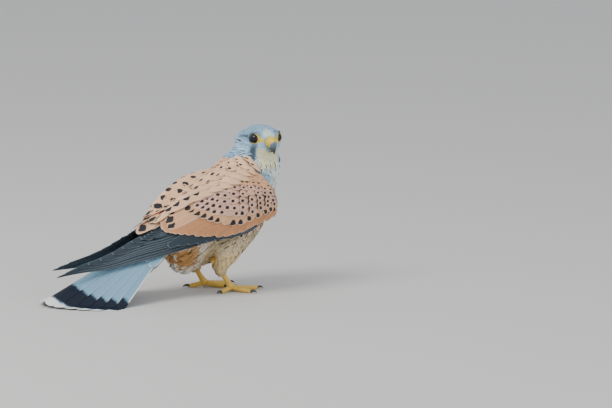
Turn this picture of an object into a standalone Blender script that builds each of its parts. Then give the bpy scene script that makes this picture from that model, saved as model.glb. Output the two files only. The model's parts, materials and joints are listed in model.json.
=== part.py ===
"""Common kestrel, adult male, life size, standing with its head turned back over its right shoulder.

Metres, +Z up. The bird faces +X with its right side on -Y, and the floor is z = 0. Tables of sizes are in
millimetres, and the builders turn them into metres. The origin is under the middle of the bird's box.
"""

import math

import bmesh
import bpy
import numpy as np
from mathutils import Matrix, Vector

MM = 0.001
GAP = 0.3
RIGHT = -1
LEFT = 1

# Torso stations from rump to neck: back point (x, z), belly point (x, z), half width, pinch of the lower side
TORSO = (
    ((-67, 73), (-65, 61), 9, 0.3),
    ((-61, 83), (-60, 43), 19, 0.5),
    ((-50, 92), (-53, 27), 27, 0.62),
    ((-36, 101), (-42, 17), 31, 0.72),
    ((-21, 110), (-20, 24), 34, 0.6),
    ((-9, 118.5), (4, 29), 36, 0.35),
    ((1, 127.5), (22, 34), 37, 0.12),
    ((8.5, 133.5), (33, 45), 37, 0.0),
    ((14, 138), (43, 57), 36, 0.0),
    ((19, 140), (53, 72), 33, 0.0),
    ((22, 143), (61, 90), 29, 0.0),
    ((24, 146), (66, 108), 25, 0.0),
)
# Neck stations: centre, half length along the lean, half width, lean of the ring in degrees
NECK = (
    ((45.0, -1.0, 131.5), 28.0, 25.0, 36),
    ((45.5, -2.0, 138.0), 25.0, 22.5, 25),
    ((43.5, 1.5, 143.5), 22.0, 19.0, 17),
    ((40.0, 6.0, 149.0), 16.0, 14.0, 16),
    ((40.0, 8.0, 154.0), 11.5, 10.0, 10),
    ((42.0, 9.0, 157.5), 6.0, 5.0, 5),
)

# The head looks back over the right shoulder at the camera
HEAD_PLACE = (48.3, -9.6, 149.0)
HEAD_YAW = -100.0
HEAD_NOD = -3.0
# Head stations along the bill's direction from the eyes: x, centre height, half height, half width
HEAD = (
    (-30.0, 2.0, 4.5, 6.0),
    (-27.0, 2.3, 9.0, 12.0),
    (-20.0, 1.0, 13.0, 18.0),
    (-12.0, -0.8, 15.0, 20.6),
    (-4.0, -2.2, 15.6, 19.4),
    (3.0, -3.2, 14.8, 15.6),
    (8.0, -3.8, 12.4, 12.2),
    (12.0, -3.6, 10.0, 9.0),
    (15.0, -3.4, 8.0, 6.8),
)
EYE_RADIUS = 5.7
EYE_SPOT = (2.5, 11.0, 1.4)
EYE_TURN = 48.0
LID_RADIUS = 4.9
LID_THICK = 0.9
BROW_SPOT = (4.2, 13.2, 7.1)
BROW_SIZE = (7.5, 2.0, 1.5)
# Bill stations along the culmen: x, centre height, half height, half width, slope of the ring in degrees
UPPER_BILL = (
    (15.3, -1.6, 5.7, 5.8, 0),
    (18.2, -1.8, 5.4, 5.2, 8),
    (20.8, -2.8, 4.8, 4.4, 22),
    (22.9, -4.8, 3.9, 3.4, 42),
    (24.2, -7.6, 2.7, 2.3, 66),
    (24.3, -10.6, 1.5, 1.3, 88),
    (23.6, -13.2, 0.5, 0.45, 102),
)
CERE_END = 1.12
LOWER_BILL = (
    (15.3, -9.6, 1.9, 4.6, 0),
    (18.0, -9.9, 1.7, 3.7, 0),
    (20.0, -9.9, 1.3, 2.4, -8),
    (21.1, -9.7, 0.6, 1.0, -14),
)
NOSTRIL_SPOT = (17.2, 5.1, 0.2)
NOSTRIL_RADIUS = 0.8
GAPE_SIZE = (9.0, 0.7, 5.0)
GAPE_SPOT = (12.5, 8.2, -7.4)

# Folded wing stations from wrist to tip: place, low edge (x, out, z), high edge (x, out, z), bulge
WING = (
    (0.00, (50, 33, 80), (41, 32, 104), 3.0),
    (0.08, (39, 41, 73), (28, 29, 120), 8.0),
    (0.25, (5, 45, 64), (-8, 22, 124), 9.0),
    (0.45, (-42, 39, 54), (-52, 9, 107), 8.0),
    (0.62, (-85, 28, 45), (-88, 4, 72), 5.0),
    (0.80, (-132, 15, 36), (-130, 7.5, 46), 2.0),
    (1.00, (-190, 3.5, 26), (-188, 4.5, 31), 0.4),
)
WING_CROSS_RISE = 6.5
WING_CROSS_START = 0.5
# Wing core under the feathers: place, depth of its top, thickness at mid width
WING_CORE = (
    (0.0, 0.2, 8.0),
    (0.08, 0.8, 12.0),
    (0.2, 2.4, 11.0),
    (0.32, 2.8, 9.0),
    (0.42, 3.6, 7.0),
    (0.52, 6.0, 4.0),
)
VANE_THICK = 0.55
LAYER = 0.9
# Flight feathers: where their roots start, and the tips of the primaries from the inner one to the outer one
FLIGHT_ROOT = 0.45
PRIMARY_TIPS = (0.665, 0.705, 0.75, 0.795, 0.845, 0.89, 0.935, 0.975, 1.0, 0.96)
SECONDARIES = 4
TERTIALS = 3
FLIGHT_ROWS = ((0.0, 0.7), (0.45, 1.0), (0.88, 0.8), (1.0, 0.12))
COVERT_ROWS = ((0.0, 0.5), (0.5, 0.95), (0.85, 0.85), (1.0, 0.2))
# Tiers of coverts: count, places of the tips, their places across, length, half width, rise, and where the
# tier above ends
COVERT_TIERS = (
    (7, (0.46, 0.555), (0.05, 0.66), 0.16, 6.0, 0.0, 0.42),
    (6, (0.31, 0.40), (0.10, 0.66), 0.14, 6.6, 0.0, 0.28),
    (5, (0.19, 0.26), (0.14, 0.66), 0.13, 6.8, 0.0, 0.0),
    (4, (0.44, 0.52), (0.74, 1.02), 0.19, 6.0, 1.4, 0.38),
    (4, (0.29, 0.37), (0.76, 1.0), 0.17, 6.0, 1.4, 0.0),
)
TIER_DROP = 3.0

# Tail: root, downward pitch, slope of its two roofed halves, feathers with their lengths and fan angles
TAIL_ROOT = (-52.0, 0.0, 72.0)
TAIL_PITCH = 24.0
TAIL_ROOF = 36.0
TAIL_RIDGE = 7.0
TAIL_FEATHERS = 12
TAIL_LENGTH = 164.0
TAIL_GRADING = 26.0
TAIL_FAN = 22.0
TAIL_ROOT_HALF = 13.0
TAIL_START = 6.0
TAIL_VANE_HALF = 11.5
TAIL_CORE_END = 0.36
TAIL_ROWS = ((0.0, 0.5), (0.3, 0.8), (0.86, 1.0), (0.96, 0.75), (1.0, 0.25))

# Legs: foot place, ankle place, thigh top, for the right foot and the left one
FEET = {RIGHT: (2.0, 19.0), LEFT: (-6.0, 19.0)}
ANKLE_BACK = 20.0
ANKLE_HEIGHT = 35.0
FOOT_HEIGHT = 5.2
SHANK_RADIUS = 2.6
THIGH = (
    ((8, 20, 66), 24, 13),
    ((5, 22, 54), 25, 14.5),
    ((1, 22, 42), 22, 14),
    ((-4, 21, 32), 17, 12),
    ((-8, 20, 24), 10.5, 9),
    ((-8.5, 19.3, 19), 6.5, 6),
    ((-7.5, 19, 16), 4.2, 4.2),
)
# Toes: name, heading away from the midline in degrees, length
TOES = (
    ("middle", 3.0, 29.0),
    ("inner", -46.0, 20.0),
    ("outer", 55.0, 21.0),
    ("hind", 160.0, 14.0),
)
TOE_RADIUS = 2.5
TOE_END_RADIUS = 1.9
CLAW_LENGTH = 9.0
CLAW_RADIUS = 1.5

FINISHES = {
    "rufous": ((0.42, 0.19, 0.10), 0.75, 0.0),
    "breast": ((0.62, 0.47, 0.30), 0.8, 0.0),
    "slate": ((0.27, 0.32, 0.38), 0.75, 0.0),
    "tail_grey": ((0.30, 0.36, 0.42), 0.7, 0.0),
    "cere_yellow": ((0.85, 0.60, 0.05), 0.45, 0.0),
    "horn": ((0.05, 0.06, 0.08), 0.3, 0.0),
    "eye": ((0.01, 0.006, 0.005), 0.05, 0.0),
    "leg_yellow": ((0.80, 0.50, 0.06), 0.5, 0.0),
}


def clear_scene():
    for old in list(bpy.data.objects):
        bpy.data.objects.remove(old)


def collection(name):
    made = bpy.data.collections.new(name)
    bpy.context.scene.collection.children.link(made)
    return made


def finish(name):
    """A Principled material of that name, made once."""
    if name in bpy.data.materials:
        return bpy.data.materials[name]
    colour, roughness, metallic = FINISHES[name]
    made = bpy.data.materials.new(name)
    made.use_nodes = True
    shader = made.node_tree.nodes["Principled BSDF"]
    shader.inputs["Base Color"].default_value = (*colour, 1.0)
    shader.inputs["Roughness"].default_value = roughness
    shader.inputs["Metallic"].default_value = metallic
    made.diffuse_color = (*colour, 1.0)
    return made


def to_object(name, bm, finish_name, group):
    """Turns a bmesh in millimetres into an object in metres with its faces pointing out."""
    bmesh.ops.recalc_face_normals(bm, faces=bm.faces)
    bmesh.ops.scale(bm, vec=(MM, MM, MM), verts=bm.verts)
    mesh = bpy.data.meshes.new(name)
    bm.to_mesh(mesh)
    bm.free()
    mesh.materials.append(finish(finish_name))
    made = bpy.data.objects.new(name, mesh)
    group.objects.link(made)
    return made


def eased(rows, place):
    """A smooth reading of a table whose first column is the place, by Catmull-Rom through its rows."""
    table = np.array(rows, float)
    keys = table[:, 0]
    i = int(np.clip(np.searchsorted(keys, place, side="right") - 1, 0, len(keys) - 2))
    t = (place - keys[i]) / (keys[i + 1] - keys[i])
    before = table[max(i - 1, 0)]
    start = table[i]
    end = table[i + 1]
    after = table[min(i + 2, len(keys) - 1)]
    slope_in = (end - before) / max(end[0] - before[0], 1e-9) * (end[0] - start[0])
    slope_out = (after - start) / max(after[0] - start[0], 1e-9) * (end[0] - start[0])
    t2 = t * t
    t3 = t2 * t
    value = (
        (2 * t3 - 3 * t2 + 1) * start
        + (t3 - 2 * t2 + t) * slope_in
        + (3 * t2 - 2 * t3) * end
        + (t3 - t2) * slope_out
    )
    return value[1:]


def loft(rings, name, finish_name, group):
    """A closed skin through rings of equal count, with a fan of triangles on each end."""
    bm = bmesh.new()
    rows = [[bm.verts.new(point) for point in ring] for ring in rings]
    for lower, upper in zip(rows, rows[1:]):
        count = len(lower)
        for k in range(count):
            after = (k + 1) % count
            bm.faces.new((lower[k], lower[after], upper[after], upper[k]))
    for row in (rows[0], rows[-1]):
        middle = bm.verts.new(sum((v.co for v in row), Vector()) / len(row))
        for k in range(len(row)):
            bm.faces.new((row[k], row[(k + 1) % len(row)], middle))
    return to_object(name, bm, finish_name, group)


def sheet_solid(top, bottom, name, finish_name, group):
    """A thin closed body between two grids, split into triangles alike on both faces."""
    bm = bmesh.new()
    upper = [[bm.verts.new(point) for point in row] for row in top]
    lower = [[bm.verts.new(point) for point in row] for row in bottom]
    rows = len(upper)
    columns = len(upper[0])
    for i in range(rows - 1):
        for j in range(columns - 1):
            for grid in (upper, lower):
                a, b = grid[i][j], grid[i][j + 1]
                c, d = grid[i + 1][j + 1], grid[i + 1][j]
                bm.faces.new((a, b, c))
                bm.faces.new((a, c, d))
    rim = [(i, 0) for i in range(rows)]
    rim += [(rows - 1, j) for j in range(1, columns)]
    rim += [(i, columns - 1) for i in range(rows - 2, -1, -1)]
    rim += [(0, j) for j in range(columns - 2, 0, -1)]
    for (i, j), (k, m) in zip(rim, rim[1:] + rim[:1]):
        bm.faces.new((upper[i][j], upper[k][m], lower[k][m], lower[i][j]))
    return to_object(name, bm, finish_name, group)


def evaluated_mesh(obj):
    graph = bpy.context.evaluated_depsgraph_get()
    graph.update()
    return bpy.data.meshes.new_from_object(obj.evaluated_get(graph))


def apply_modifiers(obj):
    made = evaluated_mesh(obj)
    obj.modifiers.clear()
    obj.data = made


def keep_largest(obj):
    """Leaves only the closed surface that holds the most."""
    bm = bmesh.new()
    bm.from_mesh(obj.data)
    bmesh.ops.triangulate(bm, faces=bm.faces)
    unseen = set(bm.verts)
    islands = []
    while unseen:
        stack = [unseen.pop()]
        island = set(stack)
        while stack:
            for edge in stack.pop().link_edges:
                for vert in edge.verts:
                    if vert in unseen:
                        unseen.remove(vert)
                        island.add(vert)
                        stack.append(vert)
        islands.append(island)
    if len(islands) > 1:
        def held(island):
            faces = {face for vert in island for face in vert.link_faces}
            corners = ([v.co for v in face.verts] for face in faces)
            return abs(sum(a.dot(b.cross(c)) for a, b, c in corners))

        islands.sort(key=held)
        loose = [vert for island in islands[:-1] for vert in island]
        bmesh.ops.delete(bm, geom=loose, context="VERTS")
    bm.to_mesh(obj.data)
    bm.free()


def boolean(target, other, operation, solver="EXACT"):
    """Joins or cuts target with an object or with a collection of closed meshes, and applies it."""
    step = target.modifiers.new(operation.lower(), "BOOLEAN")
    step.operation = operation
    step.solver = solver
    if isinstance(other, bpy.types.Collection):
        step.operand_type = "COLLECTION"
        step.collection = other
    else:
        step.object = other
    apply_modifiers(target)
    keep_largest(target)


def fuse(core, pieces, solver="MANIFOLD"):
    """One closed body from a core and the pieces rooted in it. The pieces' objects are then removed."""
    group = collection("fusing")
    for piece in pieces:
        for old in list(piece.users_collection):
            old.objects.unlink(piece)
        group.objects.link(piece)
    boolean(core, group, "UNION", solver)
    for piece in pieces:
        bpy.data.objects.remove(piece)
    bpy.data.collections.remove(group)
    return core


def grown(obj, by, group):
    """A copy of obj pushed out along its normals, for cutting a neighbour clear of it."""
    bm = bmesh.new()
    bm.from_mesh(obj.data)
    bmesh.ops.remove_doubles(bm, verts=bm.verts, dist=0.01 * MM)
    bm.normal_update()
    shifts = [vert.normal * by * MM for vert in bm.verts]
    for vert, shift in zip(bm.verts, shifts):
        vert.co += shift
    mesh = bpy.data.meshes.new(obj.name + "_grown")
    bm.to_mesh(mesh)
    bm.free()
    made = bpy.data.objects.new(obj.name + "_grown", mesh)
    made.hide_render = True
    made.display_type = "WIRE"
    group.objects.link(made)
    return made


def clear_of(target, neighbours, cutters, by=GAP * 1.15):
    """Cuts target back so that it keeps its gap to each neighbour."""
    for neighbour in neighbours:
        cutter = grown(neighbour, by, cutters)
        boolean(target, cutter, "DIFFERENCE")
        bpy.data.objects.remove(cutter)


def ring(centre, across, up, half_across, half_up, count):
    """Points of an ellipse about centre in the plane of the vectors across and up."""
    turns = [math.tau * k / count for k in range(count)]
    return [centre + across * (half_across * math.sin(a)) + up * (half_up * math.cos(a)) for a in turns]


def torso_ring(place, count, shrink=0.0):
    rows = [(i, *back, *belly, half, pinch) for i, (back, belly, half, pinch) in enumerate(TORSO)]
    back_x, back_z, belly_x, belly_z, half, pinch = eased(rows, place)
    back = Vector((back_x, 0, back_z))
    belly = Vector((belly_x, 0, belly_z))
    up = (back - belly).normalized()
    middle = (back + belly) / 2
    points = ring(middle, Vector((0, 1, 0)), up, half - shrink, (back - belly).length / 2 - shrink, count)
    for k, point in enumerate(points):
        low = (1 - math.cos(math.tau * k / count)) / 2
        point.y *= 1 - pinch * low * low
    return points


def torso(group):
    stations = np.linspace(0, len(TORSO) - 1, 18)
    return loft([torso_ring(place, 20) for place in stations], "torso", "breast", group)


def neck(group):
    """From the torso's last ring, a gap above it, up into the skull, which later cuts it back."""
    last = [Vector(p) for p in torso_ring(len(TORSO) - 1, 20)]
    middle = sum(last, Vector()) / len(last)
    normal = (last[0] - middle).cross(last[5] - middle).normalized()
    if normal.z < 0:
        normal.negate()
    rings = [[point + normal * GAP for point in last]]
    for centre, half_long, half_wide, lean in NECK:
        along = Vector((-math.cos(math.radians(lean)), 0, math.sin(math.radians(lean))))
        rings.append(ring(Vector(centre), Vector((0, 1, 0)), along, half_wide, half_long, 20))
    return loft(rings, "neck", "slate", group)


def head_matrix():
    turn = Matrix.Rotation(math.radians(HEAD_YAW), 4, "Z")
    nod = Matrix.Rotation(math.radians(HEAD_NOD), 4, "Y")
    return Matrix.Translation(Vector(HEAD_PLACE)) @ turn @ nod


def placed(obj, matrix):
    """Moves a mesh made about the origin, in metres, to its place."""
    move = matrix.copy()
    move.translation = move.translation * MM
    obj.data.transform(move)
    return obj


def head_ring(x, height, half_high, half_wide, count, slope=0.0):
    tilt = math.radians(slope)
    up = Vector((math.sin(tilt), 0, math.cos(tilt)))
    return ring(Vector((x, 0, height)), Vector((0, 1, 0)), up, half_wide, half_high, count)


def eye_axis(side):
    turn = math.radians(EYE_TURN)
    return Vector((math.cos(turn), side * math.sin(turn), 0.0))


def ball(name, centre, radius, finish_name, group, segments=14, rings=9, stretch=(1, 1, 1)):
    bm = bmesh.new()
    bmesh.ops.create_uvsphere(bm, u_segments=segments, v_segments=rings, radius=radius)
    bmesh.ops.scale(bm, vec=stretch, verts=bm.verts)
    bmesh.ops.translate(bm, vec=centre, verts=bm.verts)
    return to_object(name, bm, finish_name, group)


def lid(side, group):
    """The bare ring round an eye, as a torus about the eye's axis."""
    sides = 14
    across = 5
    bm = bmesh.new()
    profile = bmesh.ops.create_circle(bm, radius=LID_THICK, segments=across)["verts"]
    bmesh.ops.rotate(bm, verts=profile, matrix=Matrix.Rotation(math.pi / 2, 3, "X"))
    bmesh.ops.translate(bm, verts=profile, vec=(LID_RADIUS, 0, 0))
    bmesh.ops.spin(
        bm,
        geom=bm.verts[:] + bm.edges[:],
        axis=(0, 0, 1),
        angle=math.tau,
        steps=sides,
        use_merge=True,
    )
    bmesh.ops.remove_doubles(bm, verts=bm.verts, dist=1e-4)
    turn = Vector((0, 0, 1)).rotation_difference(eye_axis(side)).to_matrix().to_4x4()
    lift = math.sqrt(EYE_RADIUS**2 - LID_RADIUS**2) + 0.3
    spot = Vector((EYE_SPOT[0], side * EYE_SPOT[1], EYE_SPOT[2])) + eye_axis(side) * lift
    bmesh.ops.transform(bm, matrix=Matrix.Translation(spot) @ turn, verts=bm.verts)
    return to_object("lid", bm, "cere_yellow", group)


def box(name, centre, size, group, turn=None):
    bm = bmesh.new()
    bmesh.ops.create_cube(bm, size=1.0)
    bmesh.ops.scale(bm, vec=size, verts=bm.verts)
    if turn is not None:
        bmesh.ops.transform(bm, matrix=turn, verts=bm.verts)
    bmesh.ops.translate(bm, vec=centre, verts=bm.verts)
    return to_object(name, bm, "slate", group)


def skull_shape(name, group, extra=0.0):
    """The head's smooth outer shape, in its own frame, with extra millimetres all round."""
    rows = [(i, *station) for i, station in enumerate(HEAD)]
    rings = []
    for place in np.linspace(0, len(HEAD) - 1, 13):
        x, height, half_high, half_wide = eased(rows, place)
        x += extra * (2 * place / (len(HEAD) - 1) - 1)
        rings.append(head_ring(x, height, half_high + extra, half_wide + extra, 20))
    return loft(rings, name, "slate", group)


def head(group, cutters):
    """Skull with brows, lids, eye sockets and the corners of the mouth, and the two eyes."""
    skull = skull_shape("head", group)
    pieces = []
    for side in (RIGHT, LEFT):
        brow_spot = (BROW_SPOT[0], side * BROW_SPOT[1], BROW_SPOT[2])
        brow = ball("brow", (0, 0, 0), 1.0, "slate", group, 10, 6, BROW_SIZE)
        brow_turn = Matrix.Rotation(-side * math.radians(90 - EYE_TURN), 4, "Z")
        placed(brow, Matrix.Translation(brow_spot) @ brow_turn)
        pieces += [brow, lid(side, group)]
    fuse(skull, pieces, "EXACT")
    eyes = []
    for side, name in ((RIGHT, "eye_right"), (LEFT, "eye_left")):
        spot = (EYE_SPOT[0], side * EYE_SPOT[1], EYE_SPOT[2])
        socket = ball("socket", spot, EYE_RADIUS + GAP, "eye", cutters)
        boolean(skull, socket, "DIFFERENCE")
        bpy.data.objects.remove(socket)
        gape_spot = (GAPE_SPOT[0], side * GAPE_SPOT[1], GAPE_SPOT[2])
        gape_turn = Matrix.Rotation(-side * math.radians(38), 4, "Z")
        gape = box("gape", gape_spot, (GAPE_SIZE[0], GAPE_SIZE[2], GAPE_SIZE[1]), cutters, gape_turn)
        boolean(skull, gape, "DIFFERENCE")
        bpy.data.objects.remove(gape)
        eyes.append(placed(ball(name, spot, EYE_RADIUS, "eye", group), head_matrix()))
    placed(skull, head_matrix())
    return [skull, *eyes]


def bill(group, cutters):
    """Cere with its nostrils, the hooked upper bill and the lower bill."""
    rows = [(i, *station) for i, station in enumerate(UPPER_BILL)]
    last = len(UPPER_BILL) - 1

    def upper(places, name, finish_name):
        rings = []
        for place in places:
            x, height, half_high, half_wide, slope = eased(rows, place)
            rings.append(head_ring(x, height, half_high, half_wide, 12, slope))
        return loft(rings, name, finish_name, group)

    step = GAP / (UPPER_BILL[1][0] - UPPER_BILL[0][0])
    cere = upper(np.linspace(0, CERE_END, 5), "cere", "cere_yellow")
    horn = upper(np.linspace(CERE_END + 1.3 * step, last, 9), "bill_upper", "horn")
    for side in (RIGHT, LEFT):
        spot = (NOSTRIL_SPOT[0], side * NOSTRIL_SPOT[1], NOSTRIL_SPOT[2])
        hole = ball("nostril", spot, NOSTRIL_RADIUS, "horn", cutters, 8, 6, (1, 1.6, 1))
        boolean(cere, hole, "DIFFERENCE")
        bpy.data.objects.remove(hole)
    low_rows = [(i, *station) for i, station in enumerate(LOWER_BILL)]
    low_rings = []
    for place in np.linspace(0, len(LOWER_BILL) - 1, 7):
        x, height, half_high, half_wide, slope = eased(low_rows, place)
        low_rings.append(head_ring(x, height, half_high, half_wide, 12, slope))
    lower = loft(low_rings, "bill_lower", "horn", group)
    return [placed(piece, head_matrix()) for piece in (cere, horn, lower)]


def wing_frame(place, side):
    """Low edge, high edge and bulge of a folded wing's outer surface at a place from wrist to tip."""
    rows = [(u, *low, *high, bulge) for u, low, high, bulge in WING]
    values = eased(rows, place)
    low = Vector((values[0], side * values[1], values[2]))
    high = Vector((values[3], side * values[4], values[5]))
    if side == LEFT:
        share = min(max((place - WING_CROSS_START) / (1 - WING_CROSS_START), 0.0), 1.0)
        rise = Vector((0, 0, WING_CROSS_RISE * share * (2 - share)))
        low += rise
        high += rise
    return low, high, values[6]


def wing_point(place, across, height, side):
    """A point on or over the wing's outer surface, in millimetres."""
    low, high, bulge = wing_frame(place, side)
    ahead_low, ahead_high, _ = wing_frame(min(place + 0.02, 1.0), side)
    back_low, back_high, _ = wing_frame(max(place - 0.02, 0.0), side)
    along = (ahead_low - back_low).lerp(ahead_high - back_high, min(max(across, 0), 1))
    span = high - low
    normal = span.cross(along).normalized()
    if normal.y * side < 0 and abs(normal.y) > 0.05:
        normal.negate()
    arch = bulge * 4 * across * (1 - across)
    tilt = bulge * 4 * (1 - 2 * across) / max(span.length, 1e-6)
    leaning = (normal - span.normalized() * tilt).normalized()
    return low.lerp(high, across) + normal * arch + leaning * height


def smooth(low, high, value):
    share = min(max((value - low) / (high - low), 0.0), 1.0)
    return share * share * (3 - 2 * share)


def wing_slab(side, name, group, top=0.0, bottom=6.0, end=1.0):
    """A plain slab of the folded wing's outline between two depths, for cutting its neighbours."""
    places = np.linspace(0, end, 18)
    across = np.linspace(0, 1, 7)
    upper = [[wing_point(u, v, -top, side) for v in across] for u in places]
    lower = [[wing_point(u, v, -bottom, side) for v in across] for u in places]
    return sheet_solid(upper, lower, name, "rufous", group)


def wing_core(side, name, group):
    """The fleshy front of the folded wing, thickest in the middle, that all of its feathers are rooted in."""
    places = np.linspace(0, WING_CORE[-1][0], 8)
    across = np.linspace(0, 1, 6)
    top = []
    bottom = []
    for u in places:
        sunk, thick = eased(WING_CORE, u)
        top.append([wing_point(u, v, -sunk, side) for v in across])
        depths = [sunk + 1.6 + thick * math.sin(math.pi * v) ** 0.7 for v in across]
        bottom.append([wing_point(u, v, -depth, side) for v, depth in zip(across, depths)])
    return sheet_solid(top, bottom, name, "rufous", group)


def flight_feathers():
    """Root across, tip place, tip across and half width of each flight feather, the uppermost one first."""
    found = [(0.94 - 0.07 * k, 0.665 - 0.05 * k, 0.95 - 0.08 * k, 7.5) for k in range(TERTIALS)]
    found += [(0.73 - 0.07 * k, 0.58 + 0.025 * k, 0.76 - 0.02 * k, 7.0) for k in range(SECONDARIES)]
    for k, tip in enumerate(PRIMARY_TIPS):
        found.append((0.44 - 0.042 * k, tip, 0.8 - 0.12 * max(k - 6, 0), 6.0))
    return found


def flight_edges(feathers, place, span):
    """Place across of each feather's outer edge, and its rank below the feathers that still lie over it."""
    edges = []
    ranks = []
    rank = 0.0
    for number, (root_across, tip, tip_across, half) in enumerate(feathers):
        share = min(max((place - FLIGHT_ROOT) / (tip - FLIGHT_ROOT), 0.0), 1.0)
        centre = root_across + (tip_across - root_across) * share**1.5
        edges.append(centre - min(half, 0.42 * span) / span - 0.0001 * number)
        ranks.append(rank)
        rank += 1 - smooth(tip + 0.003, tip + 0.05, place)
    return np.array(edges), np.array(ranks)


def vane(points_at, rows, columns, group):
    """A feather as a thin plate. points_at(t, s, depth) places its length share t and width share s."""
    top = []
    bottom = []
    for t, width in rows:
        thin = VANE_THICK if t < 0.99 else VANE_THICK * 0.6
        top.append([points_at(t, s * width, 0.0) for s in columns])
        bottom.append([points_at(t, s * width, thin * (1.0 if s else 1.15)) for s in columns])
    return sheet_solid(top, bottom, "vane", "rufous", group)


def wing(side, name, group):
    """A folded wing: its core, the flight feathers in their stack, and the tiers of coverts and scapulars."""
    feathers = flight_feathers()
    spans = {}

    def span_at(u):
        if u not in spans:
            low, high, _ = wing_frame(u, side)
            spans[u] = (high - low).length
        return spans[u]

    pieces = []
    for number, (root_across, tip, tip_across, half) in enumerate(feathers):
        def flight_point(t, s, depth):
            u = FLIGHT_ROOT + (tip - FLIGHT_ROOT) * t
            span = span_at(u)
            wide = min(half, 0.42 * span) / span
            v = root_across + (tip_across - root_across) * t**1.5 + s * wide
            edges, ranks = flight_edges(feathers, u, span)
            level = float(np.interp(-v, -edges, ranks))
            height = -TIER_DROP * (1 - smooth(0.54, 0.66, u)) - 1.5 * (1 - smooth(0.46, 0.53, u))
            height -= LAYER * (ranks[number] - level)
            return wing_point(u, v, height - depth, side)

        pieces.append(vane(flight_point, FLIGHT_ROWS, (-1, 0, 1), group))
    for count, tips, across, length, half, rise, covered in COVERT_TIERS:
        step = (across[1] - across[0]) / (count - 1)
        for k in range(count):
            middle = across[0] + step * k
            tip = tips[0] + (tips[1] - tips[0]) * k / (count - 1)

            def covert_point(t, s, depth):
                u = max(tip + length * (t - 1), 0.01)
                wide = half / span_at(u)
                v = middle - 0.03 * (1 - t) + s * wide
                height = rise * smooth(0, 0.5, t) - LAYER * (v - (middle - wide)) / step * smooth(0.1, 0.5, t)
                if covered:
                    height -= TIER_DROP * (1 - smooth(covered, covered + 0.07, u))
                height -= 3.2 * (1 - smooth(0, 0.3, t))
                return wing_point(u, v, height - depth, side)

            pieces.append(vane(covert_point, COVERT_ROWS, (-1, 1), group))
    core = wing_core(side, name, group)
    return fuse(core, pieces)


def tail_point(back, out, height, floor=0.0):
    """A point on or over the tail, whose halves slope down from its middle like a roof.

    It never goes below floor, so low feathers lie along the ground.
    """
    turn = math.radians(TAIL_PITCH)
    roof = math.radians(TAIL_ROOF)
    along = Vector((-math.cos(turn), 0, -math.sin(turn)))
    up = Vector((-math.sin(turn), 0, math.cos(turn)))
    bend = math.hypot(out, TAIL_RIDGE)
    slope = out / bend * roof
    normal = up * math.cos(slope) + Vector((0, math.sin(slope), 0))
    drop = (bend - TAIL_RIDGE) * math.sin(roof)
    spread = out * (1 - (1 - math.cos(roof)) * abs(out) / bend)
    point = Vector(TAIL_ROOT) + along * back + Vector((0, spread, 0)) - up * drop + normal * height
    point.z = max(point.z, floor)
    return point


def tail_shaft(number, side):
    """Turn from the tail's middle line, offset of the root and length of a tail feather, 0 being the inmost."""
    share = (number + 0.5) / (TAIL_FEATHERS / 2)
    turn = math.radians(TAIL_FAN * share) * side
    return turn, TAIL_ROOT_HALF * share * side, TAIL_LENGTH - TAIL_GRADING * share**2


def tail_wedge(name, group, top, bottom, end=1.0):
    """A plain wedge of the fanned tail's outline, for its core and for cutting its neighbours."""
    shares = np.linspace(-1, 1, 9)

    def row(reach, height):
        points = []
        for share in shares:
            length = (TAIL_LENGTH - TAIL_GRADING * share**2) * reach
            turn = math.radians(TAIL_FAN * share)
            out = TAIL_ROOT_HALF * share + length * math.sin(turn)
            points.append(tail_point(length * math.cos(turn), out, height, -30.0))
        return points

    reaches = np.linspace(0, end, 6)
    upper = [row(r, top(r)) for r in reaches]
    lower = [row(r, bottom(r)) for r in reaches]
    return sheet_solid(upper, lower, name, "tail_grey", group)


def tail(group):
    """The fanned tail: a short core with its coverts, and six feathers a side that lie under one another."""
    pieces = []
    count = TAIL_FEATHERS // 2
    for side in (RIGHT, LEFT):
        for number in range(count):
            turn, root, length = tail_shaft(number, side)

            def feather_point(t, s, depth):
                reach = TAIL_START + (length - TAIL_START) * t
                spacing = (abs(root) + reach * math.sin(abs(turn))) / (number + 0.5)
                half = min(TAIL_VANE_HALF, spacing * 0.95) if number else spacing * 0.95
                centre = abs(root) + reach * math.sin(abs(turn))
                out = max(centre + half * s, 0.2 + 0.05 * s + 0.05 * number)
                level = max(out / spacing - 0.5, 0.0)
                height = -LAYER * (number - min(level, count - 1.0)) - depth
                floor = LAYER * (count - 1 - number) + VANE_THICK - depth
                return tail_point(reach * math.cos(turn), out * side, height, max(floor, 0.0))

            pieces.append(vane(feather_point, TAIL_ROWS, (-1, 0, 1), group))
    core = tail_wedge("tail", group, lambda r: 1.6 - 9 * r, lambda r: -7.5 + 9 * r, TAIL_CORE_END)
    return fuse(core, pieces)


def thigh(side, name, group):
    rows = [(i, *centre, long, wide) for i, (centre, long, wide) in enumerate(THIGH)]
    shift = FEET[side][0] - FEET[RIGHT][0]
    rings = []
    for place in np.linspace(0, len(THIGH) - 1, 9):
        x, out, z, long, wide = eased(rows, place)
        lean = math.radians(20)
        along = Vector((math.cos(lean), 0, math.sin(lean)))
        centre = Vector((x + shift * 0.8, side * out, z))
        rings.append(ring(centre, Vector((0, side, 0)), along, wide, long, 12))
    return loft(rings, name, "breast", group)


def tube(points, radii, count, name, finish_name, group):
    """A round bar through points, its rings square to its run."""
    path = [Vector(point) for point in points]
    rings = []
    for i, point in enumerate(path):
        along = (path[min(i + 1, len(path) - 1)] - path[max(i - 1, 0)]).normalized()
        side = along.cross(Vector((0, 0, 1)))
        if side.length < 0.2:
            side = along.cross(Vector((1, 0, 0)))
        side.normalize()
        up = side.cross(along).normalized()
        rings.append(ring(point, side, up, radii[i], radii[i], count))
    return loft(rings, name, finish_name, group)


def toe_direction(side, heading):
    turn = math.radians(heading) * side
    return Vector((math.cos(turn), math.sin(turn), 0))


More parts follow.
